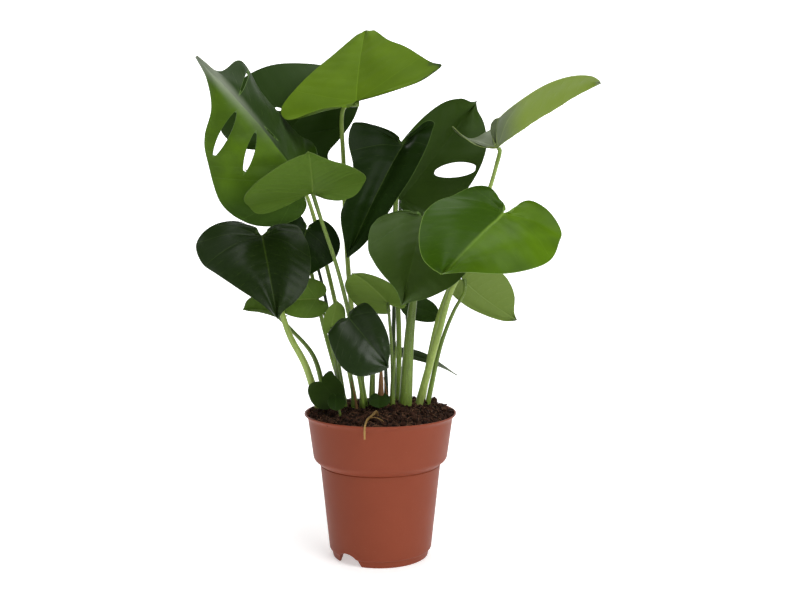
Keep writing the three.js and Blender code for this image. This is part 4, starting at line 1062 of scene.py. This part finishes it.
# bend is in radians along a whole thread, lift the height of its middle, and tilt how much higher one
# end lies than the other
soilFibres = dict(seed=23, count=760, steps=9, spread=99, length=(5, 24), bend=0.9, lift=(0.8, 3.0),
                  tilt=(-1, 2.5), thick=(0.2, 0.75))


def makeFibres(fibres):
    # thin threads that lie on the soil: a bent line with a four-sided section
    rng = np.random.default_rng(fibres["seed"])
    count, steps = fibres["count"], fibres["steps"]

    def draw(low, high):
        return rng.uniform(low, high, count)[:, None]

    x, y = scatter(rng, fibres["spread"], count)
    heading = draw(0, 2 * np.pi)
    length = draw(*fibres["length"])
    t = np.linspace(-0.5, 0.5, steps)
    turn = heading + rng.normal(0, fibres["bend"], count)[:, None] * t
    x = x[:, None] + length * t * np.cos(turn)
    y = y[:, None] + length * t * np.sin(turn)
    keep = np.minimum(1, 101 / np.maximum(np.hypot(x, y), 1e-6))
    x, y = x * keep, y * keep
    lift = draw(*fibres["lift"]) * (1 - 3 * t**2) + draw(*fibres["tilt"]) * t
    centre = spots(x, y, soilTop(x, y) + np.maximum(lift, 0.2))
    thick = draw(*fibres["thick"]) * (1 - 0.8 * np.abs(2 * t)) + 0.03
    across = spots(-np.sin(turn), np.cos(turn), 0.0)
    upright = np.array([0.0, 0.0, 1.0])
    points = np.stack([centre + thick[..., None] * way for way in (across, upright, -across, -upright)], 2)
    index = np.arange(count * steps * 4).reshape(count, steps, 4)
    ends = np.vstack([index[:, 0], index[:, -1, ::-1]])
    faces = [gridFaces(index, wrap=True)[:, ::-1], ends]
    return turnOutward(buildObject("soilFibres", points.reshape(-1, 3), faces))


settle(makeSoil(), "soil", soilMaterials["pottingMix"], "soil")
settle(makeCrumbs(soilCrumbs), "soil", soilMaterials["soilCrumb"], "soil")
settle(makeFibres(soilFibres), "soil", soilMaterials["soilFibre"], "soil")
print("soil ready")


def shootObject(name, shoot, wobble, spear=0):
    # the radius thins from foot to top; a spear of 1 ends it in a point
    t = np.linspace(0, 1, 80)
    foot, top = shoot["stem"]
    radii = (top + (foot - top) * (1 - t) ** 1.6) * (1 - spear * t**2.5) ** 0.8
    return tubeObject(name, stemPath(shoot, 80), radii, 22, wobble)


def barkWobble(along, angle):
    # ridges that wind along the root, and knobs that come and go
    knobs = np.sin(70 * along + 2 * angle) * np.sin(19 * along)
    return 1 + 0.1 * np.sin(5 * angle + 30 * along) + 0.12 * knobs


def shootWobble(along, angle):
    # nearly round, with a slow ridge that winds up the shoot
    return 1 + 0.05 * np.sin(2 * angle + 5 * along)


def foldWobble(along, angle):
    # a folded dry strip: the section flattens and opens toward its top
    flat = 0.15 + 0.45 * along
    return (1 - flat * np.cos(angle + 1.5 * along) ** 2) * (1 + 0.12 * np.sin(9 * angle + 12 * along))


rootShape = dict(foot=(-1, -50), stem=(2.2, 1.2),
                 via=[(-4, -57, 210.5), (-9, -69, 208.5), (-15, -84, 206), (-17, -98, 203.6),
                      (-17.8, -106.4, 201.6), (-18.2, -109, 196), (-18, -108.4, 185)],
                 branch=[(-12, -80, 206.5), (-5, -84, 208.5), (2, -85, 206), (6, -87, 203.5)])
sheathShapes = {
    "left": dict(foot=(-30, -18), via=[(-34, -19, 222), (-39, -21, 246)], stem=(3, 1)),
    "middle": dict(foot=(12, -8), via=[(9, -10, 226), (5, -12, 250)], stem=(2.6, 1)),
}
# young shoots stand among the stems, and one is a dry leaf base
youngShoots = {
    "one": dict(foot=(-37, -8), via=[(-38, -12, 232), (-41, -18, 274)], stem=(3.2, 2.6), kind="green"),
    "two": dict(foot=(-25, -6), via=[(-25, -10, 236), (-23, -16, 292)], stem=(4.2, 3.4), kind="green"),
    "three": dict(foot=(-12, 2), via=[(-11, -2, 238), (-9, -8, 300)], stem=(5, 4.2), kind="green"),
    "four": dict(foot=(0, -10), via=[(1, -14, 234), (2, -20, 284)], stem=(5, 4.4), kind="dry"),
    "five": dict(foot=(8, 8), via=[(8, 5, 240), (6, 0, 296)], stem=(3.8, 3), kind="dark"),
    "six": dict(foot=(17, 2), via=[(17, 0, 236), (19, -4, 262), (22, -5, 300)], stem=(4.4, 3), kind="green"),
}
settle(shootObject("rootBody", rootShape, barkWobble), "root", dryMaterials["rootBark"], "aerial_root")
twig = tubeObject("rootTwig", evenPath(rootShape["branch"], 40), np.linspace(0.9, 0.3, 40), 12, barkWobble)
settle(twig, "root", dryMaterials["rootBark"], "aerial_root")
for label, shoot in sheathShapes.items():
    sheath = shootObject("drySheath_" + label, shoot, foldWobble)
    settle(sheath, "sheath", dryMaterials["drySheath"], "sheath_" + label)
for label, shoot in youngShoots.items():
    name = "youngShoot_" + label
    if shoot["kind"] == "dry":
        piece = shootObject(name, shoot, foldWobble, spear=0.98)
        settle(piece, "sheath", dryMaterials["drySheath"], "sheath_middle")
    else:
        piece = shootObject(name, shoot, shootWobble, spear=0.98)
        settle(piece, "petiole", petioleMaterials[shoot["kind"]], "petiole_centre")
print("shoots ready")


# places, aims and sizes in metres, power in watts
studioLights = {
    "keyLight": dict(place=(1.2, -1.5, 1.7), aim=(0, 0, 0.35), size=(1.5, 1.5), power=36),
    "fillLight": dict(place=(-1.6, -1.7, 1.1), aim=(0, 0, 0.4), size=(1.6, 1.6), power=3.5),
    "topLight": dict(place=(0.1, 0.0, 2.3), aim=(0, 0, 0.4), size=(1.8, 1.4), power=30),
}


def areaLight(name, lamp):
    data = bpy.data.lights.new(name, "AREA")
    data.shape, data.energy = "RECTANGLE", lamp["power"]
    data.size, data.size_y = lamp["size"]
    light = bpy.data.objects.new(name, data)
    light.location = lamp["place"]
    x, y, z = np.array(lamp["aim"], float) - np.array(lamp["place"], float)
    light.rotation_euler = (math.atan2(math.hypot(x, y), -z), 0, math.atan2(y, x) - math.pi / 2)
    bpy.context.scene.collection.objects.link(light)


def makeFloor():
    # a pale floor that curves up into a wall behind; it glows more far from the plant, so it stays white
    t = np.linspace(0, 1, 24)[1:]
    depth = np.concatenate([np.linspace(-3000, 2600, 12), 2600 + 900 * np.sin(0.5 * np.pi * t), [3500, 3500]])
    height = np.concatenate([np.zeros(12), 900 * (1 - np.cos(0.5 * np.pi * t)), [2200, 4200]])
    points = spots(np.linspace(-2600, 2600, 9), depth[:, None], height[:, None])
    index = np.arange(len(depth) * 9).reshape(-1, 9)
    floor = buildObject("paleFloor", points.reshape(-1, 3), [gridFaces(index)], sharpAngle=180)
    white, pale = (1, 1, 1, 1), (0.82, 0.82, 0.82, 1)
    looks = {"Base Color": pale, "Roughness": 0.95, "Emission Color": white}
    material, tree, shader = startMaterial("paper", **looks)
    behind = addNode(tree, "SeparateXYZ", Vector=objectPoint(tree)).outputs["Y"]
    glow = ramp(tree, behind, 0.2, 2.0, 0.5, 0.85)
    rim = ramp(tree, distanceTo(tree, (0, 0, 0)), 1.2, 2.2, 0.5, 1.0)
    tree.links.new(calc(tree, "MAXIMUM", glow, rim), shader.inputs["Emission Strength"])
    floor.data.materials.append(material)
    return floor


def makeWorld():
    # white to look at from everywhere; as a light it is bright straight behind the plant and dim at its
    # sides and in front, a blend along the direction's y
    world = bpy.data.worlds.new("studioWhite")
    world.use_nodes = True
    tree = world.node_tree
    way = addNode(tree, "SeparateXYZ", Vector=addNode(tree, "TexCoord").outputs["Generated"])
    share = ramp(tree, way.outputs["Y"], 0.4, 0.95, 0.16, 1.0, soft=True)
    seen = addNode(tree, "LightPath").outputs["Is Camera Ray"]
    backdrop = tree.nodes["Background"]
    tree.links.new(calc(tree, "MAXIMUM", share, seen), backdrop.inputs["Strength"])
    backdrop.inputs["Color"].default_value = (1, 1, 1, 1)
    return world


makeFloor()
scene = bpy.context.scene
scene.world = makeWorld()
for name, lamp in studioLights.items():
    areaLight(name, lamp)
scene.view_settings.view_transform = "Standard"

# metres, and the camera looks down by the tilt in radians
frontView = dict(place=(0.0266, -1.361, 0.4645), tilt=0.08, lens=44.7, sensor=36, near=0.05, far=30)
lens = bpy.data.cameras.new("frontView")
lens.lens, lens.sensor_width = frontView["lens"], frontView["sensor"]
lens.clip_start, lens.clip_end = frontView["near"], frontView["far"]
camera = bpy.data.objects.new("frontView", lens)
camera.location = frontView["place"]
camera.rotation_euler = (math.pi / 2 - frontView["tilt"], 0, 0)
scene.collection.objects.link(camera)
scene.camera = camera
print("stage ready")

bpy.context.view_layer.update()
